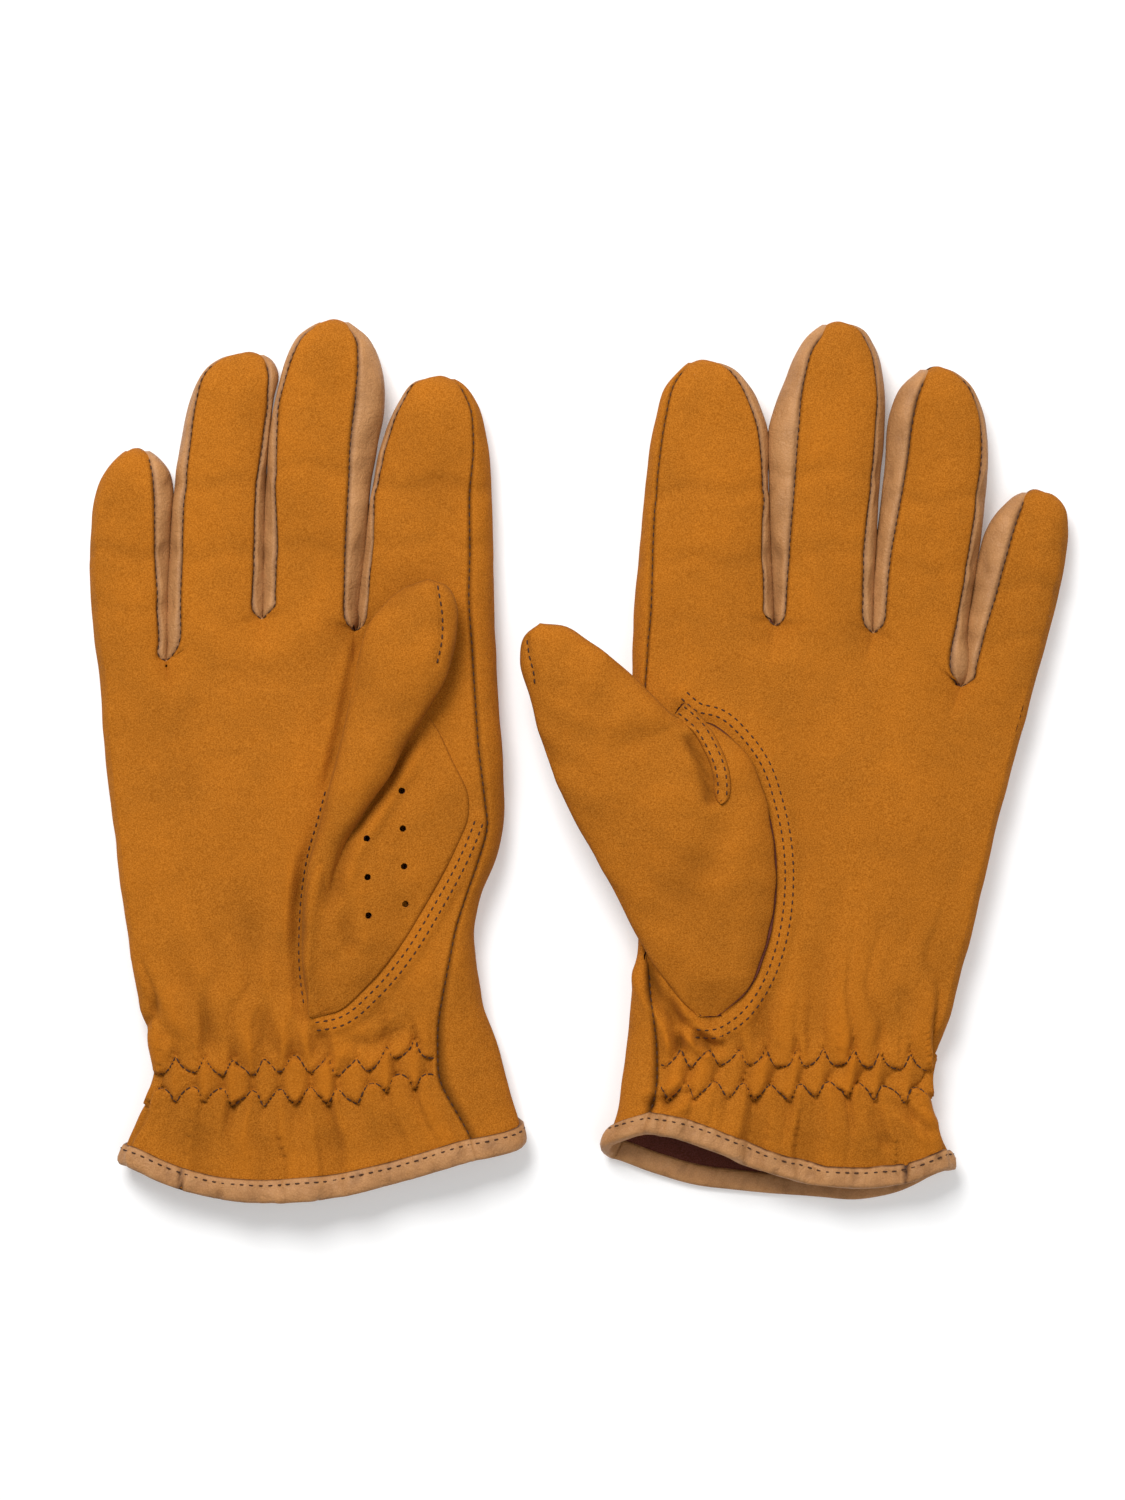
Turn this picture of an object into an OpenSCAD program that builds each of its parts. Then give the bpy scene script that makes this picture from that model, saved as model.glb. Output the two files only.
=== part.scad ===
// A pair of dress gloves in soft leather, lying palm up, side by side.
// Units are millimetres. +Z is up, +Y points along the fingers and +X to the left glove.
// The origin is the middle of the pair's box, on the surface that it lies on.

/* [Leather] */
// Thickness of the nubuck panels
leather_t = 1.2; // [0.9:0.1:1.5]
// Thickness of the smooth leather strips beside the fingers
strip_t = 0.9; // [0.7:0.1:1.2]
// Angle left open at each seam, so that the panels stay separate
seam_open = 1.5; // [1:0.1:2]
// Thickness of the binding leather
binding_t = 1.0; // [0.8:0.1:1.2]
// Depth of the binding on each face of the cuff
binding_depth = 5; // [4:0.5:6]

/* [Body] */
// Roundness of the cross-sections: 2 is an ellipse, more is squarer
oval_n = 3; // [2.4:0.1:3.4]
// Height of a finger as it lies
finger_h = 13; // [12:0.5:14]
// Height of a thumb as it lies
thumb_h = 11; // [10:0.5:12]
// Distance from the palm's end to a finger's hinge line, which the curled finger needs
curl_room = 7.6; // [7:0.1:9]
// Side clearance of each finger
finger_clear = 0.9; // [0.7:0.1:1.2]

/* [Wrist] */
// Distance from one zigzag of the shirring to the next
zigzag_pitch = 8; // [7:0.5:10]
// Height of the zigzag
zigzag_rise = 4.6; // [3:0.2:5]
// Distance between the two rows of shirring
shirring_gap = 9.4; // [8:0.2:11]
// Width of the elastic
elastic_w = 8; // [6:0.5:9]
// Thickness of the sewing thread
thread_d = 0.6; // [0.4:0.1:0.8]

/* [Vents] */
// Diameter of the vent holes in the thumb
vent_d = 2.2; // [1.8:0.1:2.6]
// Distance between vent holes along a row
vent_pitch = 10.5; // [9:0.5:12]
// Distance between the two rows of vent holes
vent_gap = 9.6; // [8:0.2:11]

/* [Hidden] */
RIGHT = 0;
LEFT = 1;
SIDES = ["right", "left"];
FINGERS = ["index", "middle", "ring", "little"];
PARTS = [
    "palm_panel", "back_panel", "thumb_base", "thumb_front", "thumb_back",
    "index_front", "index_back", "index_fourchette",
    "middle_front", "middle_back", "middle_fourchette_inner", "middle_fourchette_outer",
    "ring_front", "ring_back", "ring_fourchette_inner", "ring_fourchette_outer",
    "little_front", "little_back", "little_fourchette",
    "elastic_band", "cuff_binding", "binding_thread", "shirring_thread", "thumb_thread"
];
$fn = 24;
nubuck = [0.74, 0.48, 0.19];
smooth_leather = [0.66, 0.50, 0.35];
thread_brown = [0.32, 0.17, 0.07];
elastic_white = [0.88, 0.86, 0.80];

// Where each glove's own middle line lies. The right glove is drawn as a left one and mirrored.
place_x = [-76.5, 67.5];
place_y = -0.6;

// Each digit: hinge line y, root [x, y], tip [x, y], half widths at root, middle and end,
// sideways bow, length of the rounded tip
digits = [
    [
        [57, [-33, 37.4], [-36.9, 109.1], [19.6, 17.6, 15.4], 0, 17],
        [50, [0, 38.8], [-6.8, 125.2], [13.4, 15.2, 16], -0.8, 18],
        [50, [26.7, 34.6], [18.5, 115.8], [13.2, 12.9, 12.5], 2.6, 15],
        [39, [49.9, 28.7], [48.5, 88.9], [9.8, 11.4, 11.2], 0.8, 14]
    ],
    [
        [48.5, [-32.9, 38.5], [-32.1, 114.2], [19.8, 18.4, 16.4], 0, 18],
        [48.5, [0.2, 37.4], [5.8, 124.6], [13.4, 15, 16], -1.5, 18],
        [46.5, [26.1, 29], [32, 111.9], [12.3, 14, 14.2], 1.6, 16],
        [31.5, [49.2, 21.4], [61, 76.9], [10.6, 12, 12.4], -0.4, 15]
    ]
];
thumbs = [
    [13, [-23, 13], [-33, 49.4], [11.2, 12.4, 12.6], 0, 13],
    [-10, [-51.6, -10], [-76, 38.6], [20.7, 20, 17.5], 1.5, 22]
];
thumb_z = 21.2; // height of the thumb's middle line above the surface

// Body outline: [y, x] along the thumb side and along the little finger's side
radial_edge = [
    [[-125, -60], [-105, -59.6], [-88, -55], [-72, -49], [-55, -46], [-38, -48], [-16, -55],
        [30, -52.5], [60, -52]],
    [[-125, -64], [-105, -63], [-94, -57], [-77, -55.5], [-50, -52], [26, -53.3], [60, -52.7]]
];
ulnar_edge = [
    [[-125, 53], [-111, 53], [-99, 49], [-91, 43], [-83, 42.6], [-66, 47.6], [-27, 53.5],
        [18, 58.5], [60, 60.5]],
    [[-125, 38], [-111, 37.5], [-99, 31], [-83, 31], [-66, 37.5], [-44, 42.5], [-10, 51],
        [21, 59.8], [60, 66]]
];
half_height = [[-125, 7], [-104, 6.8], [-92, 5.8], [-82, 5.8], [-60, 7], [0, 7.2], [40, 6.5],
    [60, 6.5]];
// The cuff is lifted by its binding
lift = [[-125, 1.3], [-106, 1.3], [-96, 0], [60, 0]];
// Cuff edge: y against the place across the glove, -1 at the thumb side to 1
cuff_edge = [
    [[-1, -107], [-0.5, -115], [0, -121], [0.45, -121], [1, -110]],
    [[-1, -105], [-0.5, -113], [0, -119], [0.45, -120], [1, -114]]
];
// How much further down the back of the cuff reaches
back_drop = [0, 3.5];

// Thumb base: [y, x] of its two edges, and the height of its crown against y
base_inner = [
    [[-72, -2], [-55, 0.5], [-38, 0.5], [-24, -3], [5.2, -10.5]],
    [[-70, -32], [-64, -22], [-44, -13.5], [-30, -12.5], [-18, -22], [-17.8, -32.5]]
];
base_outer = [
    [[-72, -6], [-57, -25.7], [-39.6, -37], [-17, -47], [0, -41], [5.2, -36]],
    [[-70, -36], [-60, -46], [-50, -51], [-32, -60], [-17.8, -69]]
];
base_crown = [
    [[-72, 16.2], [-50, 21], [-20, 25], [5.2, 26.4]],
    [[-70, 16.2], [-50, 22], [-30, 26], [-17.8, 26.4]]
];
base_rows = [
    [-72, -66, -57, -48, -39.6, -30, -17, -6, 5.2],
    [-70, -64, -57, -50, -44, -37, -30, -23, -17.8]
];
// Hole in the palm under the thumb base: centre and radius of its two ends
thumb_hole = [
    [[[-13, -52], 9], [[-24, -22], 10]],
    [[[-32, -54], 8], [[-34, -34], 10]]
];
// First vent hole, the one nearest the fingers and the palm's middle
vent_start = [[-17, -10.4], [-47, -30]];
vent_lean = [0, -20];

// Rows of the body above the cuff, and where the finger part starts
body_rows = [-96, -91, -83, -74, -60, -40, -20, 0];
crown_steps = 3;
cuff_seam_row = 6;
seam_side = -0.9;

// ---- Functions

function mix(a, b, t) = a + (b - a) * t;
function clamp01(t) = max(0, min(1, t));
function signed_pow(v, p) = sign(v) * pow(abs(v), p);

// Angle of the place c, from -1 to 1, across the top of an oval
function oval_angle(c) = acos(signed_pow(max(-1, min(1, c)), oval_n / 2));

// Point [across, up] of an oval with a flat underside, half sizes w and h
base_flat = 1.3;
function oval(a, w, h) =
    let (s = signed_pow(sin(a), 2 / oval_n))
    [w * signed_pow(cos(a), 2 / oval_n), h * max(-1, s < 0 ? base_flat * s : s)];

// Body of a glove: middle line, half width and half height at y
function body_x(g, y) = (lookup(y, radial_edge[g]) + lookup(y, ulnar_edge[g])) / 2;
function body_w(g, y) = (lookup(y, ulnar_edge[g]) - lookup(y, radial_edge[g])) / 2;
function body_point(g, y, a, inset) =
    let (h = lookup(y, half_height), p = oval(a, body_w(g, y) - inset, h - inset))
    [body_x(g, y) + p[0], y, lookup(y, lift) + h + p[1]];
function palm_top(g, x, y) = body_point(g, y, oval_angle((x - body_x(g, y)) / body_w(g, y)), 0)[2];

// Digit d: place along it, middle line and half width at y
function digit_u(d, y) = (y - d[1][1]) / (d[2][1] - d[1][1]);
function digit_x(d, y) =
    let (u = clamp01(digit_u(d, y))) mix(d[1][0], d[2][0], u) + d[4] * sin(180 * u);
function digit_w(d, y) =
    lookup(digit_u(d, y), [[0, d[3][0]], [0.4, d[3][1]], [0.75, d[3][2]], [1, d[3][2]]]) - finger_clear;
// Share of the full section left at y, falling to a small end at the tip
tip_end = 0.985;
function tip_share(d, y, reach) =
    let (t = clamp01((y - d[2][1] + d[5]) / d[5]) * reach) sqrt(max(0.004, 1 - t * t));
function digit_point(d, h, cz, y, a, inset) =
    let (k = tip_share(d, y, inset > 0 ? 1.02 : tip_end))
    let (p = oval(a, (digit_w(d, y) - inset) * k, (h - inset) * k))
    [digit_x(d, y) + p[0], y, cz + p[1]];
function digit_rows(d, from) =
    let (cap = d[2][1] - d[5])
    concat([for (k = [0:3]) mix(from, cap, k / 3)],
        [for (t = [0.4, 0.7, 0.86, 0.95, 1]) cap + t * d[5]]);
function spread(from, to, n) = [for (k = [0:n]) mix(from, to, k / n)];

// ---- Solids from grids of points

// Closed sheet between an outer and an inner grid, rows along +Y and columns across the top
// from the radial side
module sheet(outer, inner) {
    rows = len(outer);
    cols = len(outer[0]);
    n = rows * cols;
    // Corner of layer k, row i, column j
    function at(k, i, j) = k * n + i * cols + j;
    function quad(a, b, c, d) = [[a, b, c], [a, c, d]];
    polyhedron(
        concat([for (r = outer) each r], [for (r = inner) each r]),
        concat(
            [for (i = [0:rows - 2], j = [0:cols - 2])
                each quad(at(0, i, j), at(0, i + 1, j), at(0, i + 1, j + 1), at(0, i, j + 1))],
            [for (i = [0:rows - 2], j = [0:cols - 2])
                each quad(at(1, i, j), at(1, i, j + 1), at(1, i + 1, j + 1), at(1, i + 1, j))],
            [for (i = [0:rows - 2])
                each quad(at(0, i, 0), at(1, i, 0), at(1, i + 1, 0), at(0, i + 1, 0))],
            [for (i = [0:rows - 2])
                each quad(at(0, i + 1, cols - 1), at(1, i + 1, cols - 1), at(1, i, cols - 1), at(0, i, cols - 1))],
            [for (j = [0:cols - 2])
                each quad(at(0, 0, j + 1), at(1, 0, j + 1), at(1, 0, j), at(0, 0, j))],
            [for (j = [0:cols - 2])
                each quad(at(0, rows - 1, j), at(1, rows - 1, j), at(1, rows - 1, j + 1), at(0, rows - 1, j + 1))]
        )
    );
}

// Sheet of a digit between two angles
module digit_sheet(d, h, cz, from_y, angles, t) {
    rows = digit_rows(d, from_y);
    sheet(
        [for (y = rows) [for (a = angles) digit_point(d, h, cz, y, a, 0)]],
        [for (y = rows) [for (a = angles) digit_point(d, h, cz, y, a, t)]]
    );
}

// One stitch from p to q, with flat ends
module stitch(p, q) {
    v = q - p;
    translate(p)
        rotate([0, acos(v[2] / norm(v)), atan2(v[1], v[0])])
            cylinder(h = norm(v), d = thread_d);
}

// ---- Body of the glove

// Columns across the body: place at the body, place at the crown and y of the crown, one set for
// each finger
crown_fractions = [0, 0.35, 0.7, 1];
body_columns = 16;
function crown_y(d, room) = d[0] - room;
function crown_columns(g, room) = [
    for (f = [0:3], k = crown_fractions)
        let (d = digits[g][f], y = crown_y(d, room))
        let (x = digit_x(d, y) + digit_w(d, y) * (2 * k - 1))
        [(x - body_x(g, y)) / body_w(g, y), y]
];
function body_place(j) = mix(seam_side, 0.99, j / (body_columns - 1));

// y of the cuff edge at the place c across the glove, on the front or the back
function cuff_y(g, c, back) = lookup(c, cuff_edge[g]) - (back ? back_drop[g] * (1 - c * c) : 0);

// Rows of points of a body panel. A column is [angle at the body, angle at the crown, place, crown y]
function body_grid(g, columns, back, inset) = concat(
    [for (rise = [0, cuff_seam_row])
        [for (k = columns) body_point(g, cuff_y(g, k[2], back) + rise, k[0], inset)]],
    [for (y = body_rows) [for (k = columns) body_point(g, y, k[0], inset)]],
    [for (step = [1:crown_steps])
        [for (k = columns)
            let (t = step / crown_steps)
            body_point(g, mix(0, k[3], t), mix(k[0], k[1], t), inset)]]
);

// The front panel wraps round the little finger's side. The back panel wraps round the thumb's side
wrap_angle = -12;
function front_columns(g) =
    let (crown = crown_columns(g, curl_room))
    concat(
        [for (j = [0:body_columns - 1])
            let (c = body_place(j), top = max(seam_side, crown[j][0]))
            [oval_angle(c), oval_angle(top), c, crown[j][1]]],
        [[wrap_angle, wrap_angle, 1, crown[body_columns - 1][1]]]
    );
hinge_play = 0.6;
function back_columns(g) =
    let (crown = crown_columns(g, hinge_play), seam = oval_angle(seam_side) + seam_open)
    concat(
        [for (a = [seam, 180]) [a, a, a == seam ? seam_side : -1, crown_y(digits[g][0], curl_room)]],
        [for (j = [0:body_columns - 1])
            let (c = mix(-0.97, 0.97, j / (body_columns - 1)))
            let (top = max(-0.97, min(0.97, crown[j][0])))
            [360 - oval_angle(c), 360 - oval_angle(top), c, crown[j][1]]],
        [[360 + wrap_angle - seam_open, 360 + wrap_angle - seam_open, 1, crown[body_columns - 1][1]]]
    );

module body_panel(g, columns, back) {
    sheet(body_grid(g, columns, back, 0), body_grid(g, columns, back, leather_t));
}

module palm_panel(g) {
    color(nubuck)
        difference() {
            body_panel(g, front_columns(g), false);
            translate([0, 0, 4])
                linear_extrude(30)
                    thumb_hole_outline(g);
        }
}

module thumb_hole_outline(g) {
    hull()
        for (e = thumb_hole[g])
            translate(e[0])
                circle(e[1]);
}

module back_panel(g) {
    color(nubuck)
        body_panel(g, back_columns(g), true);
}

// ---- Thumb

base_gap = 0.5;
base_shape = 2.4;
base_places = [-1, -0.93, -0.75, -0.5, -0.2, 0.1, 0.4, 0.7, 0.9, 1];

// The thumb base rises from the palm on its inner edge and hangs over the thumb's side
function base_point(g, y, c, drop) =
    let (a = lookup(y, base_outer[g]), b = lookup(y, base_inner[g]))
    let (x = mix(a, b, (c + 1) / 2))
    let (foot = max(palm_top(g, x, y), 12) + leather_t + base_gap)
    let (crown = lookup(y, base_crown[g]))
    [x, y, max(foot, mix(foot, crown, pow(1 - pow(abs(c), base_shape), 0.6))) - drop];

module thumb_base(g) {
    color(nubuck)
        difference() {
            sheet(
                [for (y = base_rows[g]) [for (c = base_places) base_point(g, y, c, 0)]],
                [for (y = base_rows[g]) [for (c = base_places) base_point(g, y, c, leather_t)]]
            );
            vents(g);
        }
}

module vents(g) {
    translate([vent_start[g][0], vent_start[g][1], 8])
        rotate([0, 0, vent_lean[g]])
            for (row = [0:1], k = [0:3])
                translate([-row * vent_gap, -k * vent_pitch, 0])
                    cylinder(h = 30, d = vent_d);
}

module thumb_front(g) {
    color(nubuck)
        digit_sheet(thumbs[g], thumb_h / 2, thumb_z, thumbs[g][0] + hinge_play,
            spread(180 - seam_open, seam_open, 8), leather_t);
}

module thumb_back(g) {
    color(nubuck)
        digit_sheet(thumbs[g], thumb_h / 2, thumb_z, thumbs[g][0] + hinge_play,
            spread(180 + seam_open, 360 - seam_open, 8), leather_t);
}

// ---- Fingers

// Angles of the front seam and the back seam of a finger's side strip
front_seam = 40;
back_seam = 40;

module finger_sheet(g, f, angles, t) {
    d = digits[g][f];
    digit_sheet(d, finger_h / 2, finger_h / 2, d[0] + hinge_play, angles, t);
}

module finger_front(g, f) {
    outer = f == 0 ? oval_angle(seam_side) : 180 - front_seam;
    inner = f == 3 ? wrap_angle : front_seam;
    color(nubuck)
        finger_sheet(g, f, spread(outer, inner, 7), leather_t);
}

module finger_back(g, f) {
    outer = f == 0 ? oval_angle(seam_side) + seam_open : 180 + back_seam;
    inner = f == 3 ? 360 + wrap_angle - seam_open : 360 - back_seam;
    color(nubuck)
        finger_sheet(g, f, spread(outer, inner, f == 0 ? 10 : 8), leather_t);
}

// Strip on the side of a finger that faces the thumb (inner) or the little finger (outer)
module fourchette(g, f, outer) {
    angles = outer
        ? spread(front_seam - seam_open, seam_open - back_seam, 4)
        : spread(180 + back_seam - seam_open, 180 - front_seam + seam_open, 4);
    color(smooth_leather)
        finger_sheet(g, f, outer ? angles : [for (k = [4:-1:0]) angles[k]], strip_t);
}

// ---- Wrist and cuff

row_one = -82.5;
elastic_clear = 0.3;
elastic_t = 0.8;

module elastic_band(g) {
    middle = row_one - shirring_gap / 2;
    rows = [middle - elastic_w / 2, middle, middle + elastic_w / 2];
    angles = spread(oval_angle(-0.8), oval_angle(0.86), 12);
    depth = leather_t + elastic_clear;
    color(elastic_white)
        sheet(
            [for (y = rows) [for (a = angles) body_point(g, y, a, depth)]],
            [for (y = rows) [for (a = angles) body_point(g, y, a, depth + elastic_t)]]
        );
}

// Ring round the cuff edge with a U section, closed on itself
binding_clear = 0.15;
binding_angles = concat(
    [for (j = [0:13]) oval_angle(mix(-0.99, 0.99, j / 13))],
    [for (j = [0:13]) 360 - oval_angle(mix(0.99, -0.99, j / 13))]
);

function binding_section(g, a) =
    let (c = signed_pow(cos(a), 2 / oval_n), edge = cuff_y(g, c, sin(a) < 0))
    let (out = binding_clear, in = leather_t + binding_clear, t = binding_t, top = edge + binding_depth)
    [
        body_point(g, top, a, -out - t), body_point(g, top, a, -out),
        body_point(g, edge - out, a, -out), body_point(g, edge - out, a, in),
        body_point(g, top, a, in), body_point(g, top, a, in + t),
        body_point(g, edge - out - t, a, in + t), body_point(g, edge - out - t, a, -out - t)
    ];

module cuff_binding(g) {
    ring = [for (a = binding_angles) binding_section(g, a)];
    n = len(ring);
    m = len(ring[0]);
    function at(i, j) = (i % n) * m + j % m;
    color(smooth_leather)
        polyhedron(
            [for (s = ring) each s],
            [for (i = [0:n - 1], j = [0:m - 1])
                each [[at(i, j), at(i, j + 1), at(i + 1, j + 1)],
                      [at(i, j), at(i + 1, j + 1), at(i + 1, j)]]]
        );
}

// ---- Thread

stitch_length = 2.4;
stitch_pitch = 3.6;
thread_sink = 0.15;

module binding_thread(g) {
    count = floor(1.8 * body_w(g, -110) / stitch_pitch);
    color(thread_brown)
        for (k = [0:count])
            let (c = mix(-0.86, 0.86, k / count), d = stitch_length / 2 / body_w(g, -110))
            stitch(binding_stitch(g, c - d), binding_stitch(g, c + d));
}

function binding_stitch(g, c) =
    body_point(g, cuff_y(g, c, false) + binding_depth - 1, oval_angle(c),
        -binding_clear - binding_t - thread_sink);

module shirring_thread(g) {
    from = body_x(g, row_one) - 0.88 * body_w(g, row_one);
    count = floor(1.76 * body_w(g, row_one) / zigzag_pitch * 2);
    color(thread_brown)
        for (row = [0:1], k = [0:count - 1])
            stitch(zigzag_point(g, from, row, k, 0.06), zigzag_point(g, from, row, k, 0.94));
}

// Corner k of a row of zigzag, or a point between it and the next
function zigzag_point(g, from, row, k, part) =
    let (x = from + (k + part) * zigzag_pitch / 2)
    let (up = mix(k % 2, (k + 1) % 2, part) - 0.5)
    let (y = row_one - row * shirring_gap + up * zigzag_rise * (row == 0 ? 1 : -1))
    [x, y, palm_top(g, x, y) + thread_sink];

// Two rows of stitches on the palm beside the thumb base
module thumb_thread(g) {
    seam = g == LEFT ? base_inner[g] : [for (p = base_outer[g]) if (p[0] < -10) p];
    side = g == LEFT ? 1 : -1;
    from = seam[0][0] + 3;
    to = g == LEFT ? -21 : -19;
    count = floor((to - from) / stitch_pitch);
    color(thread_brown)
        for (row = [0:1], k = [0:count - 1])
            let (y = from + k * stitch_pitch, gap = side * (2 + 3 * row))
            stitch(palm_stitch(g, lookup(y, seam) + gap, y),
                palm_stitch(g, lookup(y + stitch_length, seam) + gap, y + stitch_length));
}

function palm_stitch(g, x, y) = [x, y, palm_top(g, x, y) + thread_sink];

// ---- Assembly

module part(g, name) {
    if (name == "palm_panel") palm_panel(g);
    if (name == "back_panel") back_panel(g);
    if (name == "thumb_base") thumb_base(g);
    if (name == "thumb_front") thumb_front(g);
    if (name == "thumb_back") thumb_back(g);
    for (f = [0:3]) {
        if (name == str(FINGERS[f], "_front")) finger_front(g, f);
        if (name == str(FINGERS[f], "_back")) finger_back(g, f);
        if (name == str(FINGERS[f], "_fourchette_inner")) fourchette(g, f, false);
        if (name == str(FINGERS[f], "_fourchette_outer")) fourchette(g, f, true);
    }
    if (name == "index_fourchette") fourchette(g, 0, true);
    if (name == "little_fourchette") fourchette(g, 3, false);
    if (name == "elastic_band") elastic_band(g);
    if (name == "cuff_binding") cuff_binding(g);
    if (name == "binding_thread") binding_thread(g);
    if (name == "shirring_thread") shirring_thread(g);
    if (name == "thumb_thread") thumb_thread(g);
}

module placed(g) {
    translate([place_x[g], place_y, 0])
        mirror([g == RIGHT ? 1 : 0, 0, 0])
            children();
}

for (g = [RIGHT, LEFT], p = PARTS)
    placed(g)
            part(g, p);
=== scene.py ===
import math

import bpy
import numpy as np
from mathutils.kdtree import KDTree
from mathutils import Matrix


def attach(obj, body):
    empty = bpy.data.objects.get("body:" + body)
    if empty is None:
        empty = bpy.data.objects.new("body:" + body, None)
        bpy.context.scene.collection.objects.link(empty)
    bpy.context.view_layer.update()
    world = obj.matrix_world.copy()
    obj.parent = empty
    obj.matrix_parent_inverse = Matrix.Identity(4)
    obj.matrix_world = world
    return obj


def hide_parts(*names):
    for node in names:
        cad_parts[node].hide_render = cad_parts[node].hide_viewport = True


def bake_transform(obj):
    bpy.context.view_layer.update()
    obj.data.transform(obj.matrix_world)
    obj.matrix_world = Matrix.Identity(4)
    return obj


# A pair of nubuck dress gloves, palm up. Both are drawn as left-hand gloves in millimetres, with the
# thumb towards -X and the fingers along +Y, then put in their places. The right-hand one is mirrored.

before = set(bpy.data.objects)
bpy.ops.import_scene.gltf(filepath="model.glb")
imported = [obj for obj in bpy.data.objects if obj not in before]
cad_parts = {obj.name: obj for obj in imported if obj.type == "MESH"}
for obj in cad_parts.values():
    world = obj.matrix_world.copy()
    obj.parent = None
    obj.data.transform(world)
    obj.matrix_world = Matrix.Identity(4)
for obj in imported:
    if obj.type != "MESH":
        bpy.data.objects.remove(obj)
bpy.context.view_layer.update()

MM = 0.001
FINGERS = ("index", "middle", "ring", "little")
PLACE = {"right": (-76.5, -0.6), "left": (67.5, -0.6)}

LEATHER = 1.0          # thickness of the nubuck
STRIP = 0.8            # thickness of the smooth leather
FINGER_H = 13.0        # height of a finger as it lies
FRONT_COLS = 22        # evenly spaced columns across a finger, besides those at its seams
SIDE_COLS = 11         # columns round the side of a finger or of the palm
SEAM_STEPS = np.array([0.0, 0.4, 0.9, 1.6])   # columns beside a seam, by distance
SEAM_GROWTH = 1.7      # how much further in the even columns start
SIDE_POWER = 2.4       # how square a finger's front is across: 2 is an ellipse
ULNAR_SEAM = 2.3       # distance of the outer side's seam in from its outline
PALM_ROWS = 190
FINGER_ROWS = 74
STITCH_PITCH = 2.2     # from one stitch to the next
STITCH_LENGTH = 1.35
THREAD = 0.46          # thickness of the thread
SEAM_THREAD = 0.36     # thickness of the thread in the seams
FINGER_CREASES = ((0.5, 1.3), (0.24, 0.9))   # share of the finger from its root, and depth

# Seam of the right thumb's base, from the thumb's web round to the heel of the hand.
BASE_SEAM = [(-33.2, 14.4), (-36.2, 10.0), (-40.6, 1.0), (-45.2, -9.6), (-45.0, -14.6), (-42.2, -21.8),
             (-33.2, -39.0), (-24.8, -52.4), (-16.8, -61.8), (-8.0, -68.9), (-1.2, -70.2)]

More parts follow.
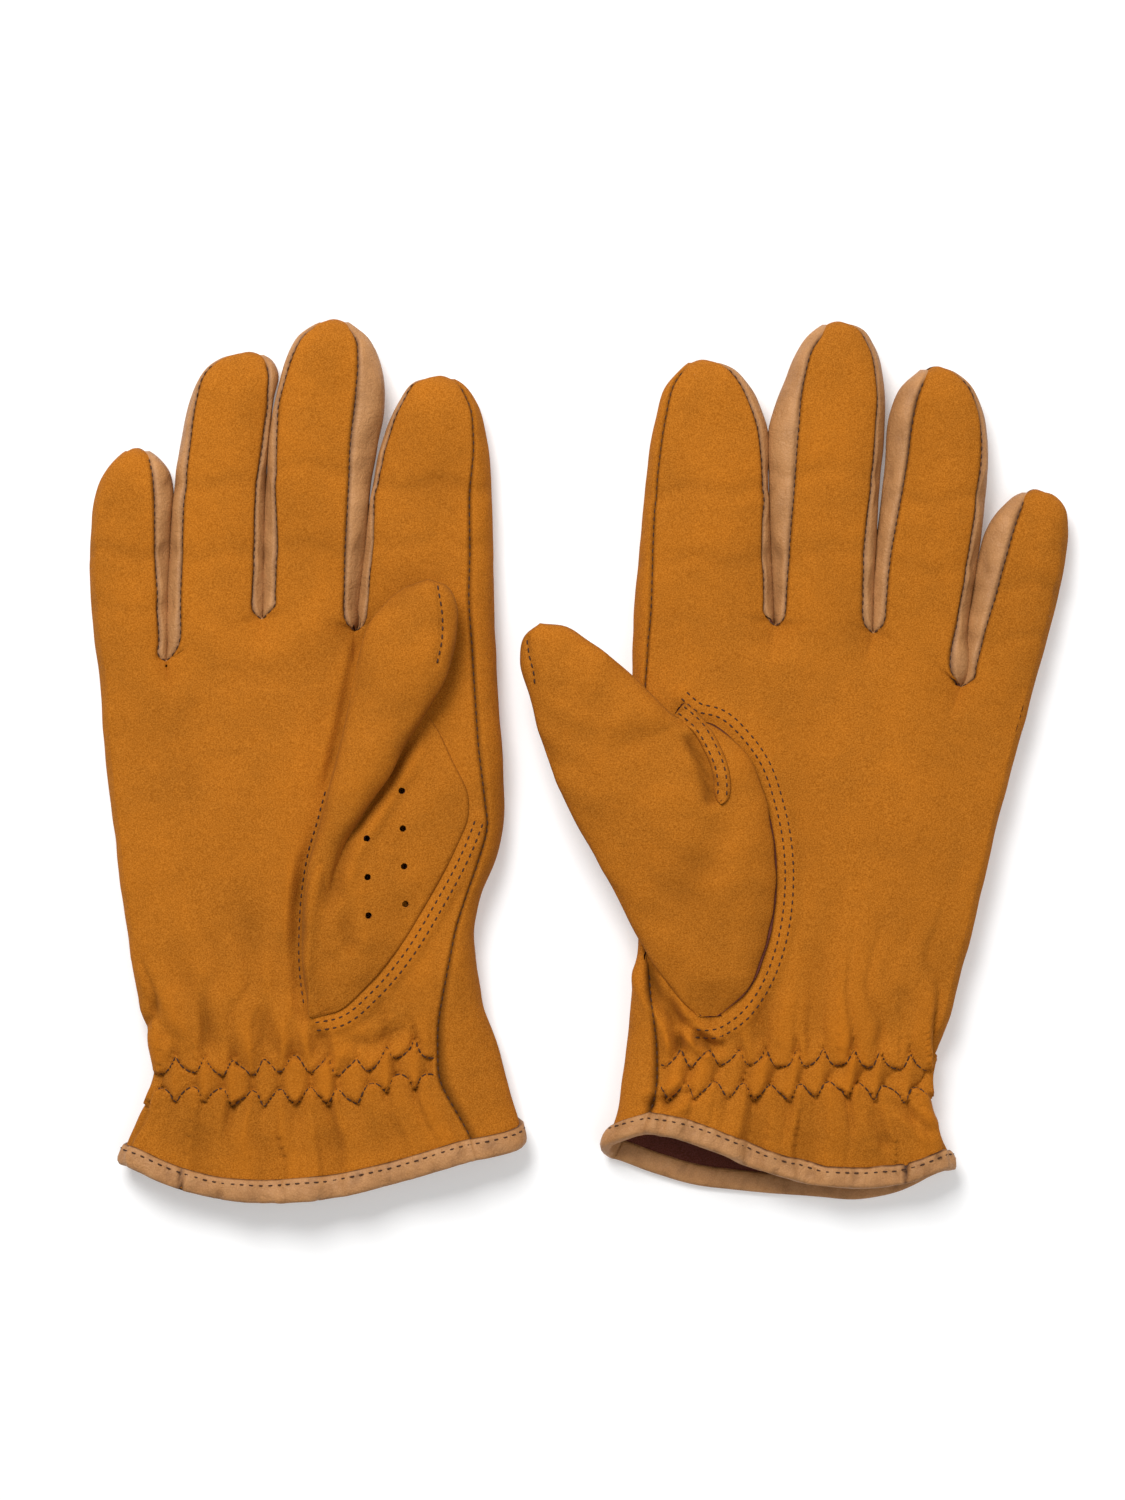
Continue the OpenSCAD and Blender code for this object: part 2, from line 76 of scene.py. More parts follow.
# Each finger: rows of y and the x of its thumb-side outline, the two seams on its front and its
# outer outline; then its tip.
HANDS = {
    "right": {
        "webs": [(-12.7, 37.4), (13.3, 40.5), (40.2, 28.4)],
        "fingers": [
            ([(44, -51.7, -44.7, -15.6, -13.5), (60, -51.4, -44.9, -17.0, -15.3),
              (75, -51.0, -44.8, -18.0, -17.0), (91, -49.7, -46.2, -21.0, -20.1),
              (102, -46.6, -44.8, -25.6, -24.9), (107.3, -42.6, -41.4, -29.4, -28.8)], (-36.2, 109.4)),
            ([(44, -13.4, -10.0, 10.0, 13.1), (60, -15.2, -10.2, 9.3, 12.9),
              (78, -16.9, -11.0, 9.8, 12.5), (91, -19.2, -11.6, 9.1, 11.4),
              (103, -21.0, -12.9, 8.2, 9.5), (113, -19.7, -13.6, 5.7, 7.2),
              (120, -16.2, -13.0, 2.8, 3.9)], (-6.3, 125.4)),
            ([(44, 13.2, 15.6, 36.0, 39.9), (60, 13.0, 15.1, 35.8, 39.5),
              (78, 12.6, 14.4, 34.6, 38.2), (91, 11.6, 12.9, 33.4, 36.4),
              (103, 10.3, 11.6, 31.8, 33.7), (110, 9.0, 11.3, 29.3, 30.4),
              (113.8, 11.0, 12.7, 25.2, 25.9)], (17.6, 116.2)),
            ([(34, 40.3, 42.0, 58.3, 60.6), (53, 39.8, 42.5, 59.5, 62.0),
              (66, 39.2, 43.0, 59.4, 61.7), (77, 38.4, 43.4, 58.0, 60.2),
              (83.5, 40.2, 44.4, 55.2, 56.9), (87.3, 44.0, 46.0, 52.6, 53.6)], (49.6, 89.1)),
        ],
        "radial": [(-125, -60.5), (-106, -59.2), (-94, -55.6), (-82.7, -53.0), (-71.5, -48.6),
                   (-60, -46.9), (-49, -45.7), (-38, -47.9), (-26.7, -53.0), (-15.5, -54.7),
                   (-4, -54.2), (12.5, -53.0), (44, -51.7)],
        "radial_seam": [(-125, -48.5), (-105, -45.8), (-98, -41.6), (-88, -36.0), (-73, -35.9),
                        (-62, -37.8), (-46, -41.0), (-29, -46.8), (-18, -50.3), (3.8, -47.4),
                        (20, -46.3), (44, -44.7)],
        "ulnar": [(-125, 53.8), (-111, 53.4), (-105, 51.2), (-99.5, 48.6), (-94, 45.6), (-86, 43.2),
                  (-77, 44.7), (-66, 48.0), (-43.5, 51.7), (-21, 54.8), (1, 57.6), (24, 59.2),
                  (34, 60.6)],
        "cuff_front": [(0, -110.6), (0.2, -116.8), (0.4, -121.6), (0.6, -123.1), (0.75, -121.8),
                       (0.86, -119.0), (0.95, -115.2), (1, -112.0)],
        "cuff_back": [(0, -104.5), (0.2, -112.8), (0.4, -118.8), (0.6, -121.2), (0.75, -120.4),
                      (0.86, -118.0), (0.95, -114.6), (1, -111.6)],
        "mouth": 0.0,
        "binding_joint": 0.84,
        "zigzag": (-84.0, -92.8, 8.3, 4.2, 0.0, 0.0),
        "hinges": [57, 50, 50, 39],
        "folds": [([(-2.8, -16.0), (1.4, -30.0), (3.2, -46.0), (2.8, -60.0), (1.2, -70.0), (-2.4, -77.0),
                    (-3.5, -84.0)], 2.2, 1.9),
                  ([(8.0, -44.0), (6.4, -58.0), (5.4, -68.0), (1.8, -80.0)], 1.6, 2.6),
                  ([(17.0, -36.0), (13.3, -66.0), (9.7, -82.0)], 1.0, 3.6),
                  ([(38.0, -52.0), (30.7, -68.7), (24.5, -82.0)], 0.9, 3.0),
                  ([(47.0, -62.0), (37.7, -79.0)], 1.0, 2.4),
                  ([(-6.0, -76.5), (-18.0, -78.0), (-29.0, -72.0)], 0.8, 2.2),
                  ([(-14.0, 34.0), (8.0, 27.0), (34.0, 25.0)], 0.5, 5.0),
                  ([(-18.0, 42.0), (-13.8, 33.0), (-11.2, 22.0), (-8.0, 6.3), (-4.0, -10.0)], 1.3, 1.5)],
        "band": BASE_SEAM[4:],
        "band_side": -1,
    },
    "left": {
        "webs": [(-13.4, 38.8), (13.8, 36.5), (38.4, 21.7)],
        "fingers": [
            ([(42, -53.2, -48.6, -16.2, -13.9), (60, -51.6, -48.0, -16.8, -14.7),
              (78, -50.0, -47.1, -17.0, -15.5), (96, -47.3, -44.8, -18.8, -16.0),
              (107.2, -43.7, -41.8, -23.4, -21.2), (111.6, -39.6, -38.6, -27.2, -25.4)], (-33.6, 114.0)),
            ([(42, -13.7, -11.2, 10.7, 13.6), (60, -14.5, -9.9, 11.0, 14.5),
              (78, -15.2, -8.4, 13.4, 15.9), (95, -15.2, -7.2, 15.0, 17.4),
              (108, -10.8, -5.7, 15.2, 17.0), (117.5, -6.6, -3.0, 13.4, 14.6),
              (122.2, -2.4, 0.2, 10.6, 11.4)], (4.2, 124.7)),
            ([(41, 13.8, 16.8, 37.6, 40.6), (55, 14.5, 18.0, 40.2, 43.1),
              (72, 16.1, 20.8, 42.7, 45.4), (86, 17.4, 23.3, 44.0, 46.1),
              (98, 18.4, 25.0, 43.8, 45.0), (106, 21.8, 27.2, 40.8, 41.8),
              (110, 26.0, 29.2, 37.0, 37.8)], (31.8, 112.0)),
            ([(24, 38.8, 41.5, 57.6, 59.8), (36, 40.2, 44.4, 60.8, 63.2),
              (48, 42.1, 48.0, 64.0, 66.3), (58, 43.5, 50.8, 66.0, 68.2),
              (66, 45.6, 53.0, 66.8, 68.9), (73, 50.8, 55.6, 65.6, 67.7),
              (76.2, 55.0, 57.2, 63.2, 64.4)], (59.8, 77.4)),
        ],
        "radial": [(-125, -64.5), (-106, -63.4), (-99.5, -60.5), (-94, -57.8), (-82.7, -56.3),
                   (-71.5, -54.8), (-60, -53.7), (-49, -51.8), (-25, -52.4), (0, -53.2),
                   (29, -53.7), (42, -53.2)],
        "radial_seam": [(-125, -55.0), (-105, -51.6), (-91, -46.9), (-79, -46.7), (-70, -47.8),
                        (-56, -50.6), (-25, -51.4), (22, -50.4), (42, -48.6)],
        "ulnar": [(-125, 37.6), (-111, 36.8), (-105, 33.9), (-99.5, 31.0), (-94, 29.9), (-86, 30.0),
                  (-82.7, 30.8), (-71.5, 35.3), (-49, 40.9), (-27, 46.0), (-4, 52.0), (18, 58.0),
                  (24, 59.8)],
        "cuff_front": [(0, -103.0), (0.12, -104.6), (0.25, -108.8), (0.41, -114.6), (0.58, -118.4),
                       (0.74, -119.0), (0.9, -117.2), (1, -113.0)],
        "cuff_back": [(0, -111.0), (0.1, -115.0), (0.25, -119.4), (0.47, -121.6), (0.63, -122.6),
                      (0.73, -123.8), (0.87, -121.4), (1, -114.5)],
        "mouth": 4.0,
        "binding_joint": 0.86,
        "zigzag": (-81.7, -91.2, 8.1, 0.0, -2.2, 0.3),
        "hinges": [48.5, 48.5, 46.5, 31.5],
        "folds": [([(-51.0, -50.0), (-48.0, -62.0), (-42.0, -73.0), (-39.5, -82.0)], 3.0, 1.9),
                  ([(-45.0, -60.0), (-39.6, -72.0), (-33.0, -77.5), (-27.9, -80.0)], 2.4, 1.6),
                  ([(-15.0, -60.0), (-19.3, -80.0)], 0.9, 2.6),
                  ([(-2.0, -46.0), (-4.2, -80.0)], 0.8, 3.4),
                  ([(4.4, -26.0), (0.6, -76.0)], 0.6, 4.6),
                  ([(24.0, -60.0), (18.0, -80.0)], 0.7, 3.4),
                  ([(-34.0, -90.0), (-44.0, -93.5), (-52.0, -96.0)], 1.4, 1.9),
                  ([(18.0, -93.0), (24.0, -98.0), (31.1, -104.5)], 1.0, 1.5),
                  ([(12.6, -95.0), (17.4, -108.0)], 0.8, 1.6)],
        "band": [(-41.6, 17.4), (-36.4, 13.2), (-30.4, 11.6), (-24.0, 5.8), (-19.4, -0.8), (-15.8, -11.0),
                 (-13.5, -22.0), (-13.1, -36.0), (-15.6, -50.8), (-20.6, -62.6), (-26.4, -69.4),
                 (-31.4, -72.2), (-36.2, -72.0)],
        "band_side": 1,
    },
}

# Thumbs as they lie: outlines from the tip down each side, heights from the tip down.
THUMBS = {
    "right": {
        "tip": (-33.4, 51.6),
        "outer": [(-39.0, 49.4), (-41.6, 44.0), (-41.6, 37.0), (-39.6, 27.0), (-33.4, 15.0),
                  (-26.8, 4.6), (-20.4, -6.0), (-15.0, -14.8), (-10.6, -22.0), (-7.6, -31.0),
                  (-5.6, -40.0), (-4.6, -48.0)],
        "inner": [(-26.4, 49.0), (-19.2, 41.6), (-15.2, 33.0), (-12.6, 22.0), (-9.4, 6.3),
                  (-3.6, -16.0), (-0.2, -29.0), (0.9, -40.0), (0.8, -48.0)],
        "middle_z": [(0, 19.0), (0.14, 20.4), (0.55, 20.5), (0.75, 19.4), (0.9, 17.6), (1, 15.4)],
        "half": [(0, 5.6), (0.5, 5.8), (0.7, 4.8), (0.85, 3.0), (1, 0.8)],
        "inner_down": (0.86, 1.0),
        "outer_down": (0.86, 1.0),
        "creases": [],
        "seed": 51,
        "blend": ((-30, 6, 21), (-30, 20, 21)),
        "tip_seam": [(-36.2, 50.0), (-37.6, 41.0), (-37.4, 34.0), (-36.0, 27.6)],
    },
    "left": {
        "tip": (-79.4, 39.2),
        "outer": [(-72.5, 38.4), (-66.0, 34.4), (-53.7, 24.8), (-47.8, 19.0), (-42.6, 14.0),
                  (-37.6, 12.4), (-32.4, 12.2), (-27.8, 9.6), (-23.6, 5.4), (-19.4, -0.8), (-15.8, -11.0),
                  (-13.5, -22.0), (-13.1, -36.0), (-15.6, -50.8), (-21.0, -63.2), (-28.6, -70.2)],
        "inner": [(-84.0, 35.4), (-85.0, 29.0), (-82.2, 18.6), (-78.9, 6.4), (-74.6, -5.4),
                  (-69.3, -16.7), (-64.4, -25.0), (-59.0, -35.0), (-51.8, -49.0), (-43.0, -61.6),
                  (-35.5, -70.4)],
        "middle_z": [(0, 17.0), (0.15, 19.0), (0.45, 19.0), (0.6, 16.8), (0.8, 15.0), (1, 14.6)],
        "half": [(0, 5.2), (0.3, 6.4), (0.5, 8.0), (0.7, 7.4), (0.9, 4.0), (1, 1.0)],
        "inner_down": (0.80, 0.97),
        "outer_down": (0.27, 0.38),
        "creases": [([(-37.2, 7.0), (-34.4, 1.8), (-32.4, -4.6), (-31.8, -9.6)], 2.9, 1.7),
                    ([(-30.0, -12.0), (-33.0, -24.0), (-40.0, -40.0)], 0.9, 6.0)],
        "seed": 61,
        "blend": ((-43.2, -20.6, 21), (-58.4, -9.2, 21)),
        "tip_seam": [(-83.0, 35.0), (-82.2, 29.6), (-81.2, 26.0), (-80.8, 22.0)],
    },
}

# ---------------------------------------------------------------- curves and noise


def spline(points, count):
    """Evenly spaced points on a smooth curve through the given ones."""
    p = np.array(points, float)
    h = np.linalg.norm(np.diff(p, axis=0), axis=1)[:, None]
    slope = np.diff(p, axis=0) / h
    tangent = np.vstack([slope[:1], (slope[:-1] * h[1:] + slope[1:] * h[:-1]) / (h[1:] + h[:-1]), slope[-1:]])
    t = np.linspace(0, 1, 16, endpoint=False)[None, :, None]
    a, b = p[:-1, None], p[1:, None]
    ta, tb = tangent[:-1, None] * h[:, None], tangent[1:, None] * h[:, None]
    fine = (a * (1 + 2 * t) * (1 - t) ** 2 + ta * t * (1 - t) ** 2
            + b * t ** 2 * (3 - 2 * t) + tb * t ** 2 * (t - 1)).reshape(-1, p.shape[1])
    return resample(np.vstack([fine, p[-1:]]), count)


def resample(line, count):
    """count points, evenly spaced along a polyline."""
    s = np.concatenate([[0], np.cumsum(np.linalg.norm(np.diff(line, axis=0), axis=1))])
    return np.column_stack([np.interp(np.linspace(0, s[-1], count), s, line[:, k])
                            for k in range(line.shape[1])])


def lookup(value, table):
    """Reads a table of (place, value) rows in straight lines."""
    table = np.array(table, float)
    return np.interp(value, table[:, 0], table[:, 1])


def smooth_lookup(value, table, reach=5.0):
    """Like lookup, with the table's corners rounded off."""
    offsets = np.linspace(-reach, reach, 9)
    weights = 1 - 0.9 * (offsets / reach) ** 2
    return sum(w * lookup(value + o, table) for o, w in zip(offsets, weights)) / weights.sum()


def distance_to(line, xy):
    """Distance of each point from the nearest point of a line."""
    best = np.full(len(xy), 1e9)
    for p in line:
        best = np.minimum(best, np.sum((xy - p) ** 2, axis=1))
    return np.sqrt(best)


def beside(line, gap):
    """A line moved sideways in the plane, to its left for a positive gap."""
    way = np.gradient(line, axis=0)
    way /= np.linalg.norm(way, axis=1)[:, None]
    return line + np.column_stack([-way[:, 1], way[:, 0]]) * gap


def folded(xy, folds):
    """Depth of a set of folds, each a line, a depth and a width, with swelling on both sides."""
    out = np.zeros(len(xy))
    for line, depth, width in folds:
        line = spline(line, 60)
        way = np.linspace(0, 1, 60)
        best, at = np.full(len(xy), 1e9), np.zeros(len(xy))
        for k, p in enumerate(line):
            d = np.sum((xy - p) ** 2, axis=1)
            at = np.where(d < best, way[k], at)
            best = np.minimum(best, d)
        s = np.sqrt(best) / width
        run = smoothstep(at, -0.02, 0.3) * smoothstep(-at, -1.02, -0.8)
        out += depth * run * (0.55 * np.exp(-((s - 1.7) / 0.9) ** 2) - np.exp(-(s ** 1.5)))
    return out


def smoothstep(value, low, high):
    """0 below low, 1 above high and a smooth rise between."""
    t = np.clip((value - low) / (high - low), 0, 1)
    return t * t * (3 - 2 * t)


def waves(seed, size, count=9):
    """A smooth random field over points, with features of about the given size."""
    r = np.random.default_rng(seed)
    way = r.normal(size=(count, 3))
    way *= (2 * math.pi / size) * r.uniform(0.6, 1.5, (count, 1)) / np.linalg.norm(way, axis=1)[:, None]
    phase = r.uniform(0, 2 * math.pi, count)
    return lambda p: np.sin(p @ way.T + phase).sum(-1) / math.sqrt(count)


# ---------------------------------------------------------------- skins


class Skin:
    """Grids of points that are welded where they meet, with a piece's name on every face."""

    def __init__(self):
        self.points, self.dents, self.faces, self.names, self.count = [], [], [], [], 0

    def grid(self, points, name, dent=0.0, flip=False):
        """Adds rows and columns of points as faces of the named piece."""
        rows, cols = points.shape[:2]
        at = np.arange(rows * cols).reshape(rows, cols) + self.count
        quads = np.stack([at[:-1, :-1], at[:-1, 1:], at[1:, 1:], at[1:, :-1]], -1).reshape(-1, 4)
        self.faces.append(quads[:, ::-1] if flip else quads)
        self.names += [name] * len(quads)
        self.points.append(points.reshape(-1, 3))
        self.dents.append(np.broadcast_to(dent, (rows, cols)).ravel())
        self.count += rows * cols
        return at

    def weld(self):
        """Joins the points of all the grids that lie at the same place."""
        points = np.vstack(self.points)
        _, first, self.index = np.unique(np.round((points + 0.0037) / 0.02).astype(int), axis=0,
                                         return_index=True, return_inverse=True)
        self.index = self.index.ravel()
        self.co = points[first]
        self.dent = np.zeros(len(first))
        np.minimum.at(self.dent, self.index, np.concatenate(self.dents))
        self.quads = self.index[np.vstack(self.faces)]
        self.names = np.array(self.names)

    def face_normals(self):
        a, b, c, d = (self.co[self.quads[:, k]] for k in range(4))
        return np.cross(c - a, d - b)

    def face_up(self, name):
        """Turns the faces over if the named piece's outside faces down."""
        if (np.where(self.names == name, 1, -1) * self.face_normals()[:, 2]).sum() < 0:
            self.quads = self.quads[:, ::-1]

    def normals(self):
        """Normal at each point."""
        n = self.face_normals()
        out = np.zeros_like(self.co)
        for k in range(4):
            np.add.at(out, self.quads[:, k], n)
        return out / np.maximum(np.linalg.norm(out, axis=1), 1e-9)[:, None]

    def settle(self, push, edge_shade=0.24):
        """Moves every point along its normal by its dent and by push(points), which gives the
        soft shapes and the sharp ones. The dents and both shapes are also kept as relief, less
        the steep sides, which the materials paint as shade where it is pulled in and on steep
        sides and as highlight where it stands up."""
        soft, sharp = push(self.co)
        self.co = self.co + self.normals() * (self.dent + soft + sharp)[:, None]
        self.normal = self.normals()
        # painted shade on the steep sides, where the leather turns away from the light, by edge_shade
        on_edge = np.exp(-((self.normal[:, 2] - 0.05) / 0.4) ** 2)
        self.relief = self.dent + 0.19 * soft + 0.22 * sharp - edge_shade * on_edge


def to_frame(points, side):
    """Millimetres of a left-hand glove to metres in the frame."""
    sign = -1 if side == "right" else 1
    place = np.array([PLACE[side][0], PLACE[side][1], 0])
    return (np.asarray(points) * [sign, 1, 1] + place) * MM


def mesh_object(name, points, faces, side, normals=None, relief=None):
    """A smooth mesh in the frame. Its relief is kept as two attributes for the materials: painted shade where
    it is pulled in and painted highlight where it stands up.
    """
    if side == "right":
        faces = [tuple(reversed(f)) for f in faces]
    mesh = bpy.data.meshes.new(name)
    mesh.from_pydata(to_frame(points, side).tolist(), [], [tuple(int(v) for v in f) for f in faces])
    mesh.polygons.foreach_set("use_smooth", [True] * len(mesh.polygons))
    # painted shade and painted highlight, from the relief
    for attribute, way in (("shade", -1), ("painted_highlight", 1)) if relief is not None else ():
        values = np.clip(way * relief, 0, 1).astype(np.float32) ** 1.3
        mesh.attributes.new(attribute, "FLOAT", "POINT").data.foreach_set("value", values)
    if normals is not None:
        sign = -1 if side == "right" else 1
        mesh.normals_split_custom_set_from_vertices((normals * [sign, 1, 1]).tolist())
    obj = bpy.data.objects.new(name, mesh)
    bpy.context.scene.collection.objects.link(obj)
    return obj


def leather_piece(skin, name, side, thickness, object_name, holes=()):
    """One panel of a skin as a solid sheet of leather, with an inner face and a rim."""
    quads = skin.quads[skin.names == name]
    used, local = np.unique(quads, return_inverse=True)
    quads = local.reshape(quads.shape)
    outer, normal, relief = skin.co[used].copy(), skin.normal[used], skin.relief[used]
    if len(holes):
        middle = outer[quads].mean(1)[:, :2]
        near = np.array([np.linalg.norm(middle - h, axis=1) for h in holes]).min(0)
        cut = quads[near < VENT_R]
        quads = quads[near >= VENT_R]
        for v in np.intersect1d(np.unique(cut), np.unique(quads)):
            h = min(holes, key=lambda q: np.linalg.norm(outer[v, :2] - q))
            away = outer[v, :2] - h
            outer[v, :2] = h + away / np.linalg.norm(away) * VENT_R
    n = len(used)
    points = np.vstack([outer, outer - normal * thickness])
    faces, edges = [], {}
    for q in quads.tolist():
        q = [v for k, v in enumerate(q) if v != q[k - 1]]
        if len(set(q)) < 3:
            continue
        faces.append(q)
        faces.append([v + n for v in reversed(q)])
        for a, b in zip(q, q[1:] + q[:1]):
            edges[(a, b)] = True
    faces += [[b, a, a + n, b + n] for a, b in edges if (b, a) not in edges]
    keep, faces_at = np.unique(np.concatenate([np.array(f) for f in faces]), return_inverse=True)
    ends = np.cumsum([len(f) for f in faces])[:-1]
    faces = np.split(faces_at, ends)
    relief = np.concatenate([relief, relief * 0])
    normals = np.vstack([normal, -normal])
    obj = mesh_object(object_name, points[keep], faces, side, normals[keep], relief[keep])
    inside = [keep[f].max() >= n for f in faces]
    obj.data.polygons.foreach_set("material_index", np.array(inside, int))
    return obj


# ---------------------------------------------------------------- the glove's body and fingers


def seam_columns(left, right, count=FRONT_COLS):
    """x of the columns between two seams: close together beside each seam, even between."""
    width = np.maximum(right - left, 0)
    steps = SEAM_STEPS * np.minimum(1, width / 14)
    inner = left + steps[..., -1:] * SEAM_GROWTH
    outer = right - steps[..., -1:] * SEAM_GROWTH
    even = inner + (outer - inner) * np.linspace(0, 1, count)
    return np.concatenate([left + steps, even, right - steps[..., ::-1]], -1)


def groove(distance, depth=0.8):
    """How a seam pulls the leather in, and the swelling beside it. Through the relief the pull is also
    painted as a dark line of shade along the seam.
    """
    return -depth * np.exp(-(distance / 0.55) ** 2) + 0.14 * np.exp(-((distance - 1.7) / 0.9) ** 2)


def rounding(inset, half):
    """Height above the middle of a round side, at a distance in from its edge."""
    return half * np.sqrt(np.clip(1 - (1 - np.clip(inset / half, 0, 1)) ** 2, 0.0001, 1))


WEB_INSET = 0.8        # least distance of a seam in from the outline
WEB_ARCH = 0.8         # how far a finger's root curves up between its webs
SIDE_PLACES = np.linspace(0, 1, SIDE_COLS + 1) ** 1.5    # closer together beside the seam
BACK_INSET = 2.2       # distance of the back's edge in from the outline


def tube(xl, sl, sr, xr, middle, half, front_x, power, inset_l=BACK_INSET, inset_r=BACK_INSET):
    """Cross-sections of a lying tube of leather: x and z of its front, outer side, back and inner
    side. The arguments are columns of numbers, one for each row."""
    up_l = rounding(np.maximum(sl - xl, WEB_INSET), half)
    up_r = rounding(np.maximum(xr - sr, WEB_INSET), half)
    span = np.maximum(sr - sl, 1e-6)
    c = (front_x - sl) / span
    base = middle + up_l + (up_r - up_l) * c
    bulge = 1 - np.abs(2 * c - 1) ** power
    front = front_x, base + (middle + half - base) * bulge
    inset_l, inset_r = np.minimum(inset_l, (xr - xl) / 5), np.minimum(inset_r, (xr - xl) / 5)
    down_l, down_r = (rounding(np.maximum(inset, WEB_INSET), half) for inset in (inset_l, inset_r))
    bl, br = xl + inset_l, xr - inset_r
    down = down_l + (down_r - down_l) * c
    back = bl + (br - bl) * c, middle - down + (down - half) * (1 - np.abs(2 * c - 1) ** 3)
    v = SIDE_PLACES

    def side(edge, front_seam, back_seam, up, down):
        top, low = np.arcsin(np.clip(up / half, 0, 1)), -np.arcsin(np.clip(down / half, 0, 1))
        a = top + (low - top) * v
        share = np.where(a > 0, (1 - np.cos(a)) / (1 - np.cos(top)), (1 - np.cos(a)) / (1 - np.cos(low)))
        return edge + np.where(a > 0, front_seam - edge, back_seam - edge) * share, middle + half * np.sin(a)

    outer = side(xr, sr, br, up_r, down_r)
    inner = side(xl, sl, bl, up_l, down_l)
    return front, outer, back, inner


def columns(*values):
    """Each row of numbers as a column."""
    return [np.asarray(v, float)[:, None] for v in values]


# x of the outlines and seams at the end of a finger, from its tip, and how far below it they end.
TIP_SPREAD = (-4.2, -3.1, 3.1, 4.2)
TIP_DROP = 0.7
ROOT_OVERLAP = 0.4     # how far neighbouring fingers press into each other at the roots


def finger_curves(hand, f):
    """Base and outline of finger f: inner outline, inner seam, outer seam and outer outline."""
    rows, tip = hand["fingers"][f]
    webs = hand["webs"]
    start_l = webs[f - 1] if f > 0 else (None, webs[0][1])
    start_r = webs[f] if f < 3 else (None, webs[2][1] - 2)
    lines = []
    for k in range(1, 5):
        start = start_l if k < 3 else start_r
        x0 = start[0] if start[0] is not None else side_x(hand, k, start[1])
        first = (x0, start[1])
        edge = [(r[k], r[0]) for r in rows]
        spread = TIP_SPREAD[k - 1] * min(1, 0.72 * abs((edge[-1][0] - tip[0]) / TIP_SPREAD[k - 1]))
        points = [first] + edge + [(tip[0] + spread, tip[1] - TIP_DROP)]
        if start[0] is not None:
            outward = 1 if k < 3 else -1
            across = outward * max((rows[0][k] - x0) * 0.75 * outward, 2.0 if k in (2, 3) else -9)
            shoulder = (x0 + across, min(start[1] + 0.9 + 0.3 * across ** 2, edge[0][1] - TIP_DROP))
            quarter = tuple(0.75 * a + 0.25 * b for a, b in zip(edge[0], edge[1]))
            points[1:2] = [shoulder, edge[0], quarter]
        line = spline(points, FINGER_ROWS + 1)
        if start[0] is not None and k in (1, 4):
            over_root = line[:, 1] - start[1]
            meet = smoothstep(over_root, 0.2, 2.5) * smoothstep(-over_root, -45, -20)
            line[:, 0] += (-ROOT_OVERLAP if k == 1 else ROOT_OVERLAP) * meet
        lines.append(line)
    return lines


def side_x(hand, k, y):
    """x of the body's outlines at y: 1 and 2 the thumb side's outline and seam, 3 and 4 the other's."""
    if k == 1:
        return smooth_lookup(y, hand["radial"])
    if k == 2:
        return smooth_lookup(y, hand["radial_seam"])
    return smooth_lookup(y, hand["ulnar"]) - (ULNAR_SEAM if k == 3 else 0)


def finger(skin, hand, f):
    """Adds the skin of finger f and returns the seam lines for its stitches."""
    xl, sl, sr, xr = finger_curves(hand, f)
    length = np.linalg.norm(np.diff((sl + sr) / 2, axis=0), axis=1).sum()
    left = (1 - np.linspace(0, 1, FINGER_ROWS + 1)) * length
    near = np.sqrt(1 - (1 - np.minimum(1, left / 15)) ** 2)
    half = FINGER_H / 2 * (0.001 + 0.999 * near)
    from_root = smoothstep(length - left, 0, 5)
    middle = FINGER_H / 2 * (0.5 + 0.5 * near)
    a, b, c, d, mid, hal = columns(xl[:, 0], sl[:, 0], sr[:, 0], xr[:, 0], middle, half)
    front_x = seam_columns(b, c)
    insets = [BACK_INSET * (from_root[:, None] if web else 1) for web in (f > 0, f < 3)]
    front, outer, back, inner = tube(a, b, c, d, mid, hal, front_x, SIDE_POWER, *insets)
    share = (front_x - b) / np.maximum(c - b, 1e-6)
    round_tip = 0.9 * smoothstep(-left, -5, 0)[:, None]
    arch = (WEB_ARCH * (left / length)[:, None] ** 2 + round_tip) * (1 - (2 * share - 1) ** 2)
    y_front = sl[:, 1:] + (sr[:, 1:] - sl[:, 1:]) * share + arch
    v = SIDE_PLACES

    def side_y(seam, edge):
        return seam[:, 1:] + (edge[:, 1:] - seam[:, 1:]) * np.sin(np.pi * v)

    def made(part, y):
        return np.stack([part[0], y, part[1]], -1)

    prefix = FINGERS[f]
    seamed_r = f < 3
    pucker = 0.1 * np.sin(2 * np.pi * y_front / STITCH_PITCH)
    from_l, from_r = front_x - b, c - front_x
    base_fade = smoothstep(length - left, 0, 3)[:, None]
    fade_l = base_fade if f else 1
    dent = (groove(from_l) + pucker * np.exp(-from_l / 1.5)) * fade_l
    if seamed_r:
        dent = dent + (groove(from_r) + pucker * np.exp(-from_r / 1.5)) * base_fade
    arc = v * 11.0
    side_dent = groove(arc, 0.8) + 0 * a
    tip_fade = smoothstep(left, 0.5, 6)[:, None]
    at = skin.grid(made(front, y_front), prefix + "_front", dent * tip_fade)
    outer_name = prefix + "_front" if f == 3 else prefix + "_fourchette" + ("_outer" if f else "")
    inner_name = prefix + "_back" if f == 0 else prefix + "_fourchette" + ("_inner" if f < 3 else "")
    skin.grid(made(outer, side_y(sr, xr)), outer_name, side_dent * base_fade * tip_fade * seamed_r)
    skin.grid(made(back, y_front)[:, ::-1], prefix + "_back")
    skin.grid(made(inner, side_y(sl, xl))[:, ::-1], inner_name,
              (side_dent * fade_l * tip_fade)[:, ::-1])
    return [at[:-4, 0], at[:-4, -1]] if seamed_r else [at[:-4, 0]]


